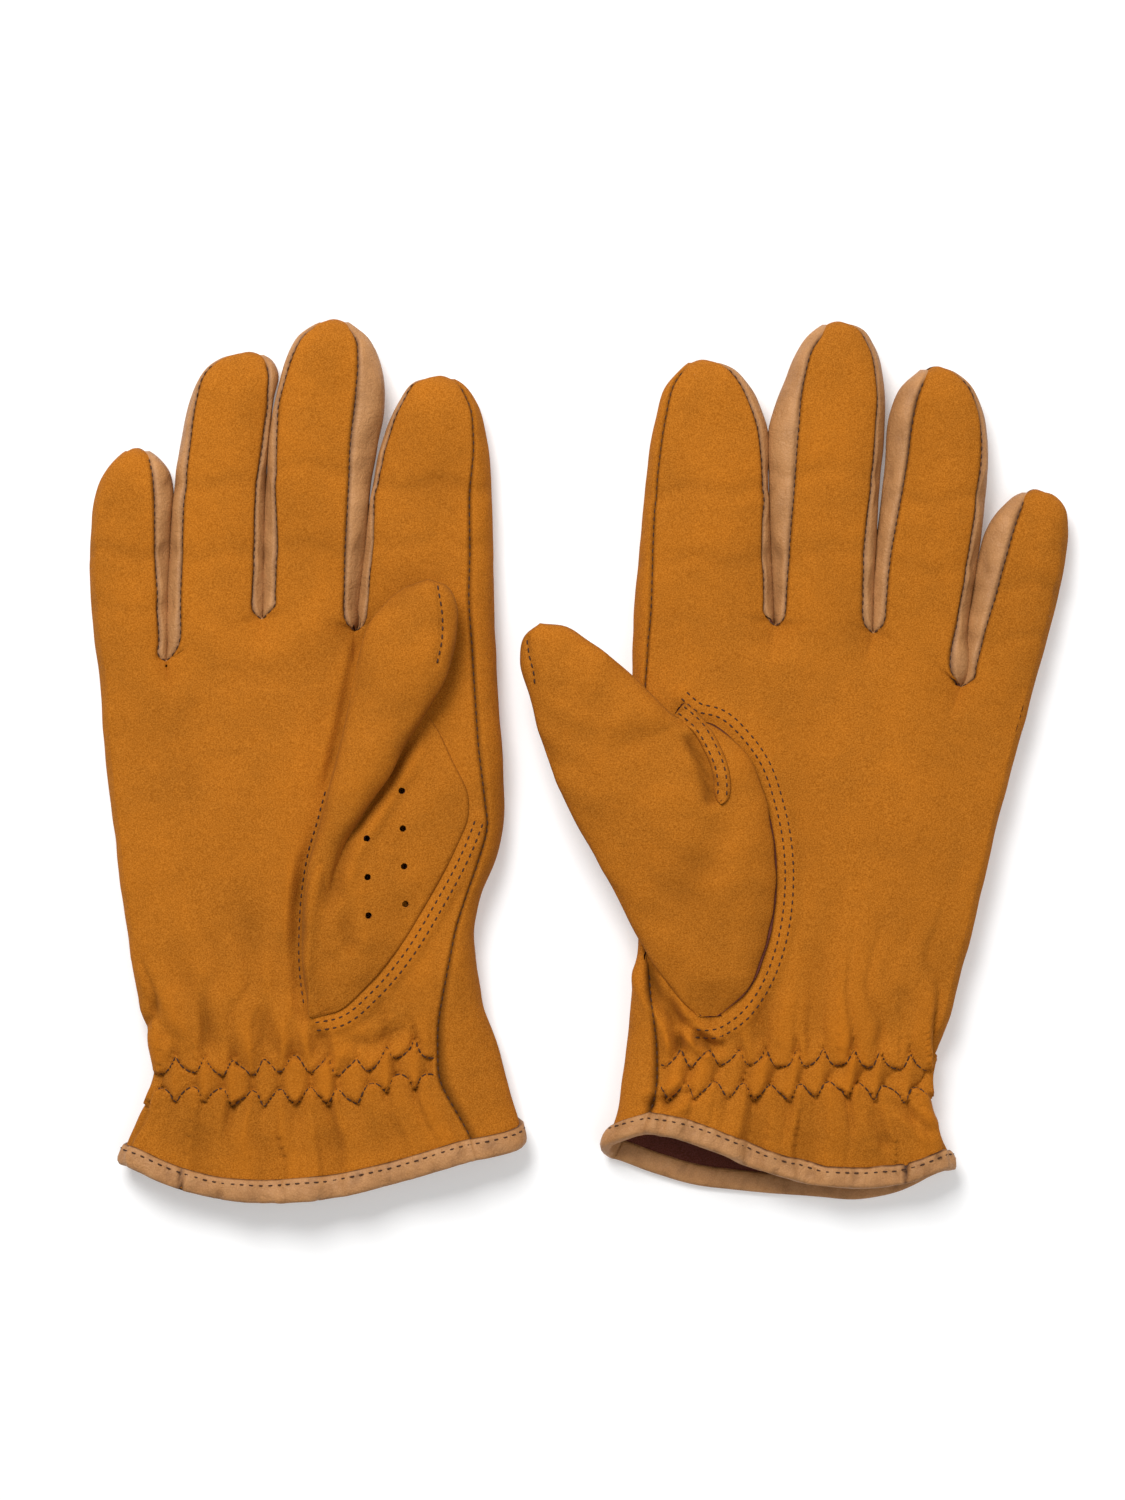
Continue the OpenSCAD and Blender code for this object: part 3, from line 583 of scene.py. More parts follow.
WRIST_Y = -87          # middle of the shirring
PALM_W = 92.0          # width that the seam's columns are spaced for
EDGE_IN = 1.0          # how far the nubuck stops short of the binding's edge
CUFF_LIFT = 1.5        # the binding holds the cuff off the surface


def palm_height(y):
    """Height of the empty glove as it lies, along the palm."""
    return lookup(y, [(-125, 11.4), (-106, 11.4), (-94, 13.0), (-80, 13.2), (-62, 14.4), (0, 14.4),
                      (38, 13.0)])


def palm(skin, hand):
    """Adds the skin of the palm and the back, from the cuff to the fingers' roots."""
    crown_x, crown_y, crown_front, crown_back = [], [], [], []
    for f in range(4):
        xl, sl, sr, xr = (curve[0] for curve in finger_curves(hand, f))
        half = np.array([[FINGER_H / 2]])
        a, b, c, d = (np.array([[q[0]]]) for q in (xl, sl, sr, xr))
        xs = seam_columns(b, c)
        insets = [0.0 if web else BACK_INSET for web in (f > 0, f < 3)]
        front, _, back, _ = tube(a, b, c, d, half, half, xs, SIDE_POWER, *insets)
        share = (xs - b) / (c - b)
        y = sl[1] + (sr[1] - sl[1]) * share + WEB_ARCH * (1 - (2 * share - 1) ** 2)
        first = 0 if f == 0 else 1
        crown_x.append(xs[0, first:])
        crown_y.append(y[0, first:])
        crown_front.append(front[1][0, first:])
        crown_back.append(np.column_stack([back[0][0, first:], back[1][0, first:]]))
    crown_x, crown_y, crown_front = (np.concatenate(q) for q in (crown_x, crown_y, crown_front))
    crown_back = np.vstack(crown_back)
    cols = len(crown_x)
    even = np.linspace(SEAM_STEPS[-1] * SEAM_GROWTH, PALM_W, cols - len(SEAM_STEPS))
    place = np.concatenate([SEAM_STEPS, even]) / PALM_W
    rows = lookup(np.linspace(0, 1, PALM_ROWS + 1), [(0, 0), (0.45, 0.30), (1, 1)])[:, None]
    near_crown = smoothstep(rows, 0.72, 1.0)
    y_front = (smooth_lookup(place, hand["cuff_front"], 0.07) + EDGE_IN) * (1 - rows) + crown_y * rows
    y_back = (smooth_lookup(place, hand["cuff_back"], 0.07) + EDGE_IN) * (1 - rows) + crown_y * rows
    y_l, y_r = y_front[:, :1], y_front[:, -1:]
    xl, sl = (smooth_lookup(y_l, hand[k]) for k in ("radial", "radial_seam"))
    xr = smooth_lookup(y_r, hand["ulnar"])
    sr = xr - ULNAR_SEAM
    xs = sl + (sr - sl) * place
    xs = xs + ((sl + (sr - sl) * (crown_x - crown_x[0]) / (crown_x[-1] - crown_x[0])) - xs) * near_crown
    height = palm_height((y_l + y_r) / 2)
    height = height + (FINGER_H - height) * near_crown
    half = height / 2 + 0 * y_l
    middle = half + CUFF_LIFT * smoothstep(-y_l, 98, 108)
    front, outer, back, inner = tube(xl, sl, sr, xr, middle, half, xs, 5.0)
    near_web = smoothstep(rows, 0.92, 1.0)
    front_z = front[1] + (crown_front - front[1]) * near_web
    back_x = back[0] + (crown_back[:, 0] - back[0]) * smoothstep(rows, 0.85, 1.0)
    back_z = back[1] + (crown_back[:, 1] - back[1]) * near_web
    open_up = hand["mouth"] * smoothstep(-rows, -0.16, 0) * np.exp(-((place - 0.14) / 0.2) ** 2)
    front_z = front_z + open_up
    v = SIDE_PLACES
    from_seam = xs - sl
    pucker = 0.1 * np.sin(2 * np.pi * y_front / STITCH_PITCH)
    dent = groove(from_seam, 0.9) + pucker * np.exp(-from_seam / 1.5)
    inner_z = inner[1] + open_up[:, :1] * (1 - v)
    side_dent = (groove(v * 11.0, 0.9) + 0 * y_l)[:, ::-1]
    at = [
        skin.grid(np.stack([xs, y_front, front_z], -1), "palm_panel", dent),
        skin.grid(np.stack([outer[0], y_r + (y_back[:, -1:] - y_r) * v, outer[1]], -1), "palm_panel"),
        skin.grid(np.stack([back_x, y_back, back_z], -1)[:, ::-1], "back_panel"),
        skin.grid(np.stack([inner[0], y_l + (y_back[:, :1] - y_l) * v, inner_z], -1)[:, ::-1],
                  "back_panel", side_dent),
    ]
    ring = np.hstack([part[:, :-1] for part in at])
    return {"seam": at[0][:, 0], "ring": ring, "front_columns": at[0].shape[1]}


def triangle_wave(phase):
    """-1 where the phase is whole, 1 half way between, with straight sides."""
    return 2 * np.abs(2 * (phase - np.floor(phase + 0.5))) - 1


def wrist_ends(hand):
    """x of the thumb side's seam and of the other outline, at the shirring."""
    return lookup(WRIST_Y, hand["radial_seam"]), lookup(WRIST_Y, hand["ulnar"])


def zigzag_rows(hand, x):
    """The two rows of shirring at x: the phase of their zigzag and the y of each row. The phase is
    whole in the middle of a puff, where the rows are furthest apart."""
    upper, lower, pitch, rise_l, rise_r, lag = hand["zigzag"]
    middle = sum(wrist_ends(hand)) / 2
    phase = (x - middle) / pitch + 0.07 * np.sin(x * 0.83) + 0.05 * np.sin(x * 0.37 + 2)
    u, u_low = ((triangle_wave(phase + shift) + 1) / 2 for shift in (0, lag))
    uneven = 1 + 0.12 * np.sin(x * 0.6)
    swing, swing_low = (4.8 * (np.sin(np.pi * q / 2) - 0.5) * uneven for q in (u, u_low))
    drift = 0.5 * np.sin(x * 0.21 + 1) + rise_l * smoothstep(-x, 10, 28) + rise_r * smoothstep(x, 14, 32)
    return phase, upper - swing + drift, lower + swing_low + drift


def shirring(hand, p):
    """Push of the gathers at the wrist: two rows of zigzag on the palm side, with folds that fade
    out above and fan out below."""
    x, y, z = p.T
    lower = hand["zigzag"][1]
    middle = sum(wrist_ends(hand)) / 2
    spread = 1 + np.clip((lower - y) / 130, 0, 0.35)
    bend = 2.2 * waves(31, 26)(p) * smoothstep(np.abs(y - WRIST_Y), 6, 25)
    phase, y_up, y_low = zigzag_rows(hand, middle + (x - middle) / spread + bend)
    phase = phase + hand["zigzag"][5] * np.clip((y_up - y) / (y_up - y_low), 0, 1)
    u = (triangle_wave(phase) + 1) / 2
    fold = np.floor(phase + 0.5)
    length = 8 + 15 * (0.5 + 0.5 * np.sin(fold * 12.9898)) ** 1.5
    length_low = 9 + 11 * (0.5 + 0.5 * np.sin(fold * 7.233 + 1))
    above, below = np.maximum(0, y - y_up), np.maximum(0, y_low - y)
    fade = np.exp(-(above / length) ** 1.2) * np.exp(-(below / length_low) ** 1.3)
    inside = (y < y_up) & (y > y_low)
    size = 0.85 + 0.35 * np.sin(fold * 4.1)
    puff = size * np.where(inside, 2.4 * (1 - u ** 2) - 1.0, 2.1 * (1 - (1 - u) ** 2) - 1.1)
    lines = np.exp(-((y - y_up) / 0.65) ** 2) + np.exp(-((y - y_low) / 0.65) ** 2)
    ripple = np.cos(2 * np.pi * (phase * 0.5 + 0.15 * np.sin(fold)))
    over_rows = smoothstep(above, 1, 6) * np.exp(-above / 17)
    broad = ripple * (0.9 * smoothstep(below, 2, 14) + 1.1 * over_rows)
    seam_x = np.interp(y, *np.array(hand["radial_seam"]).T)
    near = smoothstep(-np.abs(y - WRIST_Y), -60, -40)
    top = smoothstep(z, 7.5, 10)
    front = (0.25 * smoothstep(z, 1, 6) + 0.75 * top) * smoothstep(x, seam_x + 0.5, seam_x + 3) * near
    back = smoothstep(-z, -5, -3) * np.exp(-((y - WRIST_Y) / 16) ** 2)
    return front * (1.2 * puff * fade - 0.7 * top * lines + broad) + back * 0.5 * (1 - 2 * u)


def glove_skin(hand, side):
    """The whole glove but its thumb, with its folds, creases and gathers pushed in."""
    skin = Skin()
    facts = palm(skin, hand)
    seams = [finger(skin, hand, f) for f in range(4)]
    skin.weld()
    facts["finger_seams"] = [[skin.index[line] for line in lines] for lines in seams]
    facts["seam"] = skin.index[facts["seam"]]
    facts["ring"] = skin.index[facts["ring"]]
    broad, medium, small = waves(3 if side == "left" else 4, 46), waves(5, 21), waves(6, 8)
    band = beside(spline(hand["band"], 90), 3.0 * hand["band_side"])
    soft = np.zeros(len(skin.co))
    soft[np.unique(skin.quads[np.char.find(skin.names, "fourchette") >= 0])] = 1
    crumple = waves(8, 10)

    def push(p):
        x, y, z = p.T
        top = smoothstep(z, 6, 10)
        keep = smoothstep(z, 0.4, 3.0)
        from_tips = np.min([np.hypot(x - tip[0], y - tip[1]) for _, tip in hand["fingers"]], axis=0)
        rise = smoothstep(skin.normals()[:, 2], 0.15, 0.6) * smoothstep(from_tips, 2, 9)
        out = top * (0.45 * broad(p) + 0.22 * medium(p * [1, 0.7, 1])) + 0.05 * small(p)
        out = out + soft * rise * 0.35 * crumple(p * [1.2, 0.8, 1])
        bent = 0 * x
        for f, (rows, tip) in enumerate(hand["fingers"]):
            root = hand["hinges"][f] - 10
            low, high = (lookup(y, [(r[0], r[k]) for r in rows]) for k in (1, 4))
            inside = (x > low - 2) & (x < high + 2)
            for share, depth in FINGER_CREASES:
                at = root + (tip[1] - root) * share + 1.2 * np.sin(x * 0.3 + f)
                bent -= inside * depth * 0.4 * np.exp(-((y - at) / 2.2) ** 2)
        ridge = 0.9 * np.exp(-(distance_to(band, p[:, :2]) / 2.6) ** 4)
        sharp = top * (folded(p[:, :2], hand["folds"]) + ridge + bent) + shirring(hand, p)
        return out * keep, sharp * keep

    skin.settle(push)
    skin.co[:, 2] = np.maximum(skin.co[:, 2], 0.15)
    return skin, facts


# ---------------------------------------------------------------- stitches


class Surface:
    """Finds the nearest place on the upper side of a skin's pieces."""

    def __init__(self, co, normal):
        top = normal[:, 2] > 0.05
        self.co, self.normal = co[top], normal[top]
        self.tree = KDTree(len(self.co))
        for k, (x, y, _) in enumerate(self.co):
            self.tree.insert((x, y, 0), k)
        self.tree.balance()

    def at(self, xy):
        """Points on the surface over the given x and y, and the normals there."""
        xy = np.atleast_2d(xy)
        z, n = [], []
        for x, y in xy:
            found = self.tree.find_n((x, y, 0), 5)
            near = [k for _, k, _ in found]
            w = np.array([1 / (d * d + 0.02) for _, _, d in found])
            z.append((self.co[near, 2] * w).sum() / w.sum())
            n.append((self.normal[near] * w[:, None]).sum(0))
        n = np.array(n)
        return np.column_stack([xy, z]), n / np.linalg.norm(n, axis=1)[:, None]


# Rings of a stitch: place along it, size and lift.
STITCH_RINGS = [(-0.5, 0.35, -0.42), (-0.4, 0.8, -0.1), (-0.18, 1.0, 0.1), (0.18, 1.0, 0.1),
                (0.4, 0.8, -0.1), (0.5, 0.35, -0.42)]
STITCH_SIDES = 7


def stitch_mesh(name, side, starts, ends, normals, thick=THREAD):
    """Short arched lengths of thread, each from its start to its end."""
    points, faces = [], []
    for p, q, n in zip(starts, ends, normals):
        along = q - p
        reach = np.linalg.norm(along)
        if reach < 0.2:
            continue
        across = np.cross(n, along / reach)
        base = len(points)
        for place, size, lift in STITCH_RINGS:
            for k in range(STITCH_SIDES):
                a = 2 * math.pi * k / STITCH_SIDES
                points.append((p + q) / 2 + along * place
                              + across * math.cos(a) * size * thick / 2
                              + n * (math.sin(a) * size * thick / 2 + lift * thick))
        rings = len(STITCH_RINGS)
        for r in range(rings - 1):
            for k in range(STITCH_SIDES):
                a, b = base + r * STITCH_SIDES + k, base + r * STITCH_SIDES + (k + 1) % STITCH_SIDES
                faces.append((a, b, b + STITCH_SIDES, a + STITCH_SIDES))
        faces.append(tuple(base + k for k in reversed(range(STITCH_SIDES))))
        faces.append(tuple(base + (rings - 1) * STITCH_SIDES + k for k in range(STITCH_SIDES)))
    return mesh_object(name, np.array(points), faces, side)


def along(line, pitch=STITCH_PITCH, length=STITCH_LENGTH):
    """Starts and ends of the stitches along a line of points."""
    total = np.linalg.norm(np.diff(line, axis=0), axis=1).sum()
    count = max(1, int(total / pitch))
    s = np.concatenate([[0], np.cumsum(np.linalg.norm(np.diff(line, axis=0), axis=1))])
    middle = (np.arange(count) + 0.5) * total / count

    def place(values):
        return np.column_stack([np.interp(values, s, line[:, k]) for k in range(line.shape[1])])

    return place(middle - length / 2), place(middle + length / 2)


def sewn(name, side, surface, lines, sink=0.0, **how):
    """Rows of stitches laid on a surface. The lines are in x and y."""
    starts, ends, normals = [], [], []
    for line in lines:
        a, b = along(np.asarray(line, float), **how)
        pa, na = surface.at(a)
        pb, nb = surface.at(b)
        starts.append(pa - na * sink)
        ends.append(pb - nb * sink)
        normals.append((na + nb) / np.linalg.norm(na + nb, axis=1)[:, None])
    return stitch_mesh(name, side, np.vstack(starts), np.vstack(ends), np.vstack(normals))


# ---------------------------------------------------------------- materials


def node_material(name):
    """A new material, its nodes and its shader."""
    material = bpy.data.materials.new(name)
    material.use_nodes = True
    tree = material.node_tree
    return material, tree, tree.nodes["Principled BSDF"]


def add(tree, kind, **values):
    """Adds a node, with settings by name or inputs by label."""
    node = tree.nodes.new(kind)
    for key, value in values.items():
        if hasattr(node, key):
            setattr(node, key, value)
        else:
            node.inputs[key.replace("_", " ").title()].default_value = value
    return node


def noise(tree, scale, detail=4.0, roughness=0.6, distortion=0.0):
    """Noise over the piece, with features of about 1 / scale metres."""
    coords = tree.nodes.get("Coords") or add(tree, "ShaderNodeTexCoord", name="Coords")
    node = add(tree, "ShaderNodeTexNoise", scale=scale, detail=detail, roughness=roughness,
               distortion=distortion)
    tree.links.new(coords.outputs["Object"], node.inputs["Vector"])
    return node.outputs["Fac"]


def ramp(tree, value, stops):
    """A colour from a value, by (place, colour) stops."""
    node = tree.nodes.new("ShaderNodeValToRGB")
    while len(node.color_ramp.elements) < len(stops):
        node.color_ramp.elements.new(0.5)
    for element, (place, colour) in zip(node.color_ramp.elements, stops):
        element.position = place
        element.color = (*colour, 1)
    tree.links.new(value, node.inputs["Fac"])
    return node.outputs["Color"]


def mixed(tree, a, b, share):
    """Colour a with a share of colour b over it."""
    node = add(tree, "ShaderNodeMix", data_type="RGBA")
    for value, socket in ((share, 0), (a, 6), (b, 7)):
        if hasattr(value, "is_linked"):
            tree.links.new(value, node.inputs[socket])
        else:
            node.inputs[socket].default_value = value if socket == 0 else (*value, 1)
    return node.outputs[2]


def painted_light_and_shade(tree, colour, pale, dark):
    """A colour with painted highlight where the relief stands up and painted shade where it is pulled in or
    turns steeply away.
    """
    for attribute, other in (("painted_highlight", pale), ("shade", dark)):
        node = add(tree, "ShaderNodeAttribute", attribute_name=attribute)
        colour = mixed(tree, colour, other, node.outputs["Fac"])
    return colour


def bumps(tree, shader, layers):
    """Bump from several heights, each (socket, depth in metres, strength)."""
    last = None
    for value, depth, strength in layers:
        node = add(tree, "ShaderNodeBump", strength=strength, distance=depth)
        tree.links.new(value, node.inputs["Height"])
        if last:
            tree.links.new(last, node.inputs["Normal"])
        last = node.outputs["Normal"]
    tree.links.new(last, shader.inputs["Normal"])


def nubuck(name, base=(0.382, 0.112, 0.0050)):
    """Brushed leather: cloudy warm tan with a fine nap, with painted shade where it is pulled in
    and painted highlight where it stands up."""
    material, tree, shader = node_material(name)

    def tan(share):
        return tuple(share * v for v in base)

    pale = tuple(a * b for a, b in zip(base, (1.6, 2.1, 6.0)))
    clouds = [(0.32, tan(0.78)), (0.5, tan(1.0)), (0.68, tan(1.20))]
    colour = ramp(tree, noise(tree, 36, 5, 0.6, 0.4), clouds)
    mottling = ramp(tree, noise(tree, 260, 4, 0.65), [(0.32, tan(0.80)), (0.68, tan(1.22))])
    colour = mixed(tree, colour, mottling, 0.30)
    nap = ramp(tree, noise(tree, 2700, 2, 0.6), [(0.34, tan(0.45)), (0.66, pale)])
    # painted highlight tan(1.35) on crowns and painted shade tan(0.14) in hollows and on steep sides
    colour = painted_light_and_shade(tree, mixed(tree, colour, nap, 0.42), tan(1.35), tan(0.14))
    tree.links.new(colour, shader.inputs["Base Color"])
    rough = add(tree, "ShaderNodeMapRange")
    tree.links.new(noise(tree, 900, 3), rough.inputs["Value"])
    rough.inputs["To Min"].default_value = 0.80
    rough.inputs["To Max"].default_value = 0.98
    tree.links.new(rough.outputs["Result"], shader.inputs["Roughness"])
    shader.inputs["Specular IOR Level"].default_value = 0.08
    shader.inputs["Sheen Weight"].default_value = 0.10
    shader.inputs["Sheen Roughness"].default_value = 0.4
    shader.inputs["Sheen Tint"].default_value = (1.0, 0.50, 0.14, 1)
    bumps(tree, shader, [(noise(tree, 2400, 4, 0.7), 0.00022, 0.6),
                         (noise(tree, 420, 4, 0.6, 0.4), 0.0007, 0.4)])
    return material


def smooth_leather(name):
    """Fine grained, finely creased beige leather with a low shine."""
    material, tree, shader = node_material(name)
    clouds = [(0.3, (0.33, 0.148, 0.049)), (0.7, (0.52, 0.250, 0.092))]
    colour = ramp(tree, noise(tree, 90, 4, 0.6, 0.5), clouds)
    grain = tree.nodes.new("ShaderNodeTexVoronoi")
    grain.feature = "DISTANCE_TO_EDGE"
    grain.inputs["Scale"].default_value = 1300
    tree.links.new(tree.nodes["Coords"].outputs["Object"], grain.inputs["Vector"])
    lines = ramp(tree, grain.outputs["Distance"], [(0.0, (0.26, 0.108, 0.035)), (0.12, (0.45, 0.22, 0.084))])
    # painted highlight (0.52, 0.28, 0.12) on crowns and painted shade (0.055, 0.018, 0.006) in hollows and on
    # steep sides
    colour = painted_light_and_shade(tree, mixed(tree, colour, lines, 0.35), (0.52, 0.28, 0.12), (0.055, 0.018, 0.006))
    tree.links.new(colour, shader.inputs["Base Color"])
    shader.inputs["Roughness"].default_value = 0.55
    shader.inputs["Specular IOR Level"].default_value = 0.28
    bumps(tree, shader, [(grain.outputs["Distance"], 0.00014, 0.5),
                         (noise(tree, 420, 4, 0.6, 1.2), 0.0008, 0.55)])
    return material


def thread_material(name):
    """Dark brown twisted thread."""
    material, tree, shader = node_material(name)
    colour = ramp(tree, noise(tree, 3000, 2), [(0.3, (0.034, 0.010, 0.003)), (0.7, (0.080, 0.026, 0.007))])
    tree.links.new(colour, shader.inputs["Base Color"])
    shader.inputs["Roughness"].default_value = 0.7
    twist = add(tree, "ShaderNodeTexWave", scale=2600.0, distortion=0.5)
    tree.links.new(tree.nodes["Coords"].outputs["Object"], twist.inputs["Vector"])
    bumps(tree, shader, [(twist.outputs["Fac"], 0.0001, 0.6)])
    return material


def elastic_material(name):
    """Off-white woven elastic."""
    material, tree, shader = node_material(name)
    weave = add(tree, "ShaderNodeTexWave", scale=900.0, distortion=0.2)
    coords = add(tree, "ShaderNodeTexCoord", name="Coords")
    tree.links.new(coords.outputs["Object"], weave.inputs["Vector"])
    colour = ramp(tree, weave.outputs["Fac"], [(0.2, (0.48, 0.46, 0.41)), (0.8, (0.74, 0.72, 0.66))])
    tree.links.new(colour, shader.inputs["Base Color"])
    shader.inputs["Roughness"].default_value = 0.85
    bumps(tree, shader, [(weave.outputs["Fac"], 0.0003, 0.7)])
    return material


NUBUCK = nubuck("nubuck")
# the flesh side of the leather, with painted shade: its dark colour is that of the glove's shaded inside
INSIDE = nubuck("shaded_flesh_side", (0.105, 0.026, 0.010))
SMOOTH = smooth_leather("smooth_leather")
THREAD_MATERIAL = thread_material("sewing_thread")
ELASTIC = elastic_material("elastic")


def finish_piece(obj, material, slot, *nodes):
    """Gives a piece its material and hides the CAD parts of the nodes it stands in for."""
    obj.data.materials.append(material)
    if nodes:
        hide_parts(*nodes)
    return obj


# ---------------------------------------------------------------- thumbs

THUMB_ROWS = 120
THUMB_COLS = 40
VENT_R = 0.95          # radius of a vent hole
VENT_STEP = 10.5       # from one vent hole to the next


def ground_under(surface, xy):
    """Height of a surface under a grid of points."""
    return surface.at(xy.reshape(-1, 2))[0][:, 2].reshape(xy.shape[:2])


def thumb_tube(side, surface):
    """A thumb as it lies: a flattened tube from its tip down to the foot of its seam, where it
    comes down to the palm."""
    facts = THUMBS[side]
    inner = spline([facts["tip"]] + facts["inner"], THUMB_ROWS + 1)
    outer = spline([facts["tip"]] + facts["outer"], THUMB_ROWS + 1)
    t = np.linspace(0, 1, THUMB_ROWS + 1)
    near = np.sqrt(1 - (1 - np.minimum(1, t / 0.12)) ** 2)[:, None]
    e = np.sin(np.linspace(-np.pi / 2, np.pi / 2, THUMB_COLS + 1))
    share = (e + 1) / 2
    xy = inner[:, None] * (1 - share[None, :, None]) + outer[:, None] * share[None, :, None]
    ground = ground_under(surface, xy)
    down = [smoothstep(t, *facts[k])[:, None] for k in ("inner_down", "outer_down")]
    down = down[0] * (1 - share) + down[1] * share
    middle = lookup(t, facts["middle_z"])[:, None] * (1 - down) + (ground + 0.1) * down
    half = lookup(t, facts["half"])[:, None] * (0.05 + 0.95 * near)
    profile = (1 - np.abs(e) ** 2.3) ** 0.55
    below = np.minimum(half, 5.2) * (1 - down) + 0.8 * down
    skin = Skin()
    across = np.linalg.norm(outer - inner, axis=1)[:, None]
    sewn_down = smoothstep(t, *facts["outer_down"]) * smoothstep(-t, -0.99, -0.94)
    dent = groove((1 - share) * across, 0.8) * sewn_down[:, None]
    skin.grid(np.dstack([xy, middle + half * profile]), "front", dent, side == "left")
    skin.grid(np.dstack([xy, middle - below * profile]), "back", flip=side == "right")
    skin.weld()
    skin.face_up("front")
    folds, medium = waves(facts["seed"], 30), waves(facts["seed"] + 1, 12)
    creases = facts["creases"] + [(facts["tip_seam"], 0.5, 0.7)]
    creases = [(spline(line, 40), depth, width) for line, depth, width in creases]

    def push(p):
        top = smoothstep(skin.normals()[:, 2], -0.2, 0.5)
        sharp = 0 * top
        for line, depth, width in creases:
            sharp -= depth * np.exp(-(distance_to(line, p[:, :2]) / width) ** 2)
        return (0.5 * folds(p) + 0.2 * medium(p)) * top, sharp * top

    # stronger painted shade on the thumb's steep sides, so its outline shows dark
    skin.settle(push, 0.5)
    return skin, inner


# Free edge of the folded thumb's base, and the row of stitches beside it.
BASE_EDGE = [(-12.4, 22.0), (-8.6, 6.3), (-3.2, -16.0), (0.4, -29.0), (1.8, -44.0), (1.6, -57.0),
             (-0.2, -69.6)]
BASE_STITCHES = [(-4.8, -7.0), (-2.4, -16.0), (0.0, -24.0), (1.7, -33.0), (2.7, -46.0), (2.3, -60.0),
                 (1.2, -67.0)]


def thumb_base(surface):
    """The foot of the folded thumb, a leaf of leather sewn to the palm along its far side."""
    seam, edge = spline(BASE_SEAM, THUMB_ROWS + 1), spline(BASE_EDGE, THUMB_ROWS + 1)
    t = np.linspace(0, 1, THUMB_ROWS + 1)[:, None]
    c = np.linspace(-1, 1, THUMB_COLS + 11)
    share = (c + 1) / 2
    xy = seam[:, None] * (1 - share[None, :, None]) + edge[:, None] * share[None, :, None]
    ground = ground_under(surface, xy)
    crown = lookup(t, [(0, 1.0), (0.2, 3.6), (0.45, 6.0), (0.72, 5.4), (0.9, 3.0), (1, 0.6)])
    turn = np.sqrt(1 - np.clip((share - 0.84) / 0.16, 0, 1) ** 2)
    lift = crown * (1 - (1 - share) ** 2.2) ** 0.9 * turn
    skin = Skin()
    dent = groove((c + 1) * 18, 0.8) * smoothstep(-t, -0.98, -0.93)
    skin.grid(np.dstack([xy, ground + 0.45 + lift]), "base", dent)
    skin.weld()
    skin.face_up("base")
    folds, medium = waves(12, 26), waves(13, 11)
    under = [(THUMBS["right"]["outer"][4:], 2.2, 2.4),
             ([(-9.6, -30.0), (-10.4, -42.0), (-12.4, -54.0)], 1.2, 2.6)]

    def push(p):
        rise = smoothstep(p[:, 2], 14.5, 17)
        return (0.4 * folds(p) + 0.15 * medium(p)) * rise, folded(p[:, :2], under) * rise

    skin.settle(push)
    return skin


def vents_on_base():
    """Two rows of holes in the folded thumb's base."""
    return ([np.array((-26.2 - 0.3 * k, -7.2 - VENT_STEP * k)) for k in range(4)]
            + [np.array((-16.6 - 0.2 * k, -20.4 - 10.7 * k)) for k in range(-1, 3)])


def vents_under(inner):
    """Two rows of holes on the thumb's far side, along its outline."""
    edge = resample(inner[int(0.45 * THUMB_ROWS):], 200)
    rows = [beside(edge, 1.9), beside(edge, 9.5)]
    step = VENT_STEP / np.linalg.norm(np.diff(edge, axis=0), axis=1).mean()
    return [row[int(12 + step * k)] for row in rows for k in range(4)]


TONGUE = [(-40.6, 15.6), (-36.0, 11.6), (-31.9, 5.0), (-29.4, -1.8), (-29.0, -8.0), (-29.4, -10.8)]
TONGUE_W = 2.9         # half its width


def tongue(surface):
    """The strip of the palm's leather that runs down into the thumb's crotch."""
    line = spline(TONGUE, 46)
    s = np.linspace(0, 1, len(line))[:, None]
    width = TONGUE_W * np.sqrt(np.clip(1 - np.clip((s - 0.86) / 0.14, 0, 1) ** 2, 0.01, 1))
    e = np.linspace(-1, 1, 15)
    way = np.gradient(line, axis=0)
    way /= np.linalg.norm(way, axis=1)[:, None]
    across = np.column_stack([-way[:, 1], way[:, 0]])
    xy = line[:, None] + across[:, None] * (e * width)[..., None]
    ground = ground_under(surface, xy)
    skin = Skin()
    # sinks the strip's edges, which are also painted as a dark line of shade
    rim = -0.9 * smoothstep(np.abs(e), 0.8, 1.0) + 0 * s
    sink = 1.9 * (1 - smoothstep(s, 0, 0.16))
    skin.grid(np.dstack([xy, ground + 1.1 * (1 - np.abs(e) ** 4) - sink]), "tongue", rim)
    skin.weld()
    skin.face_up("tongue")
    skin.settle(lambda p: (0 * p[:, 0], 0 * p[:, 0]))
    return skin, line


# ---------------------------------------------------------------- cuff binding

# Section of the binding: distance in from the cuff's edge and height over the leather.
BINDING_PROFILE = [(5.7, 0.05), (5.6, 0.7), (5.2, 1.0), (4.2, 1.15), (2.8, 1.3), (1.4, 1.3), (0.3, 1.1),
                   (-0.5, 0.6), (-0.85, -0.4), (-0.6, -1.3), (0.2, -1.9), (1.4, -2.2), (3.0, -2.2),
                   (4.4, -2.1), (4.9, -1.6), (5.0, -1.1)]
STITCH_LINE = 4.1      # distance of the binding's stitches in from the edge
BINDING_PITCH = 2.7    # from one of them to the next
BINDING_STITCH = 1.4   # their length


def cuff_point(co, normal, step, reach, out):
    """Points on the rows of the cuff at a distance from its edge and a height over the leather."""
    row = np.clip(reach / step, -1, len(co) - 2)
    low = int(max(0, math.floor(row)))
    base = co[low] + (co[low + 1] - co[low]) * (row - low)
    return base + normal[max(low, 1)] * out


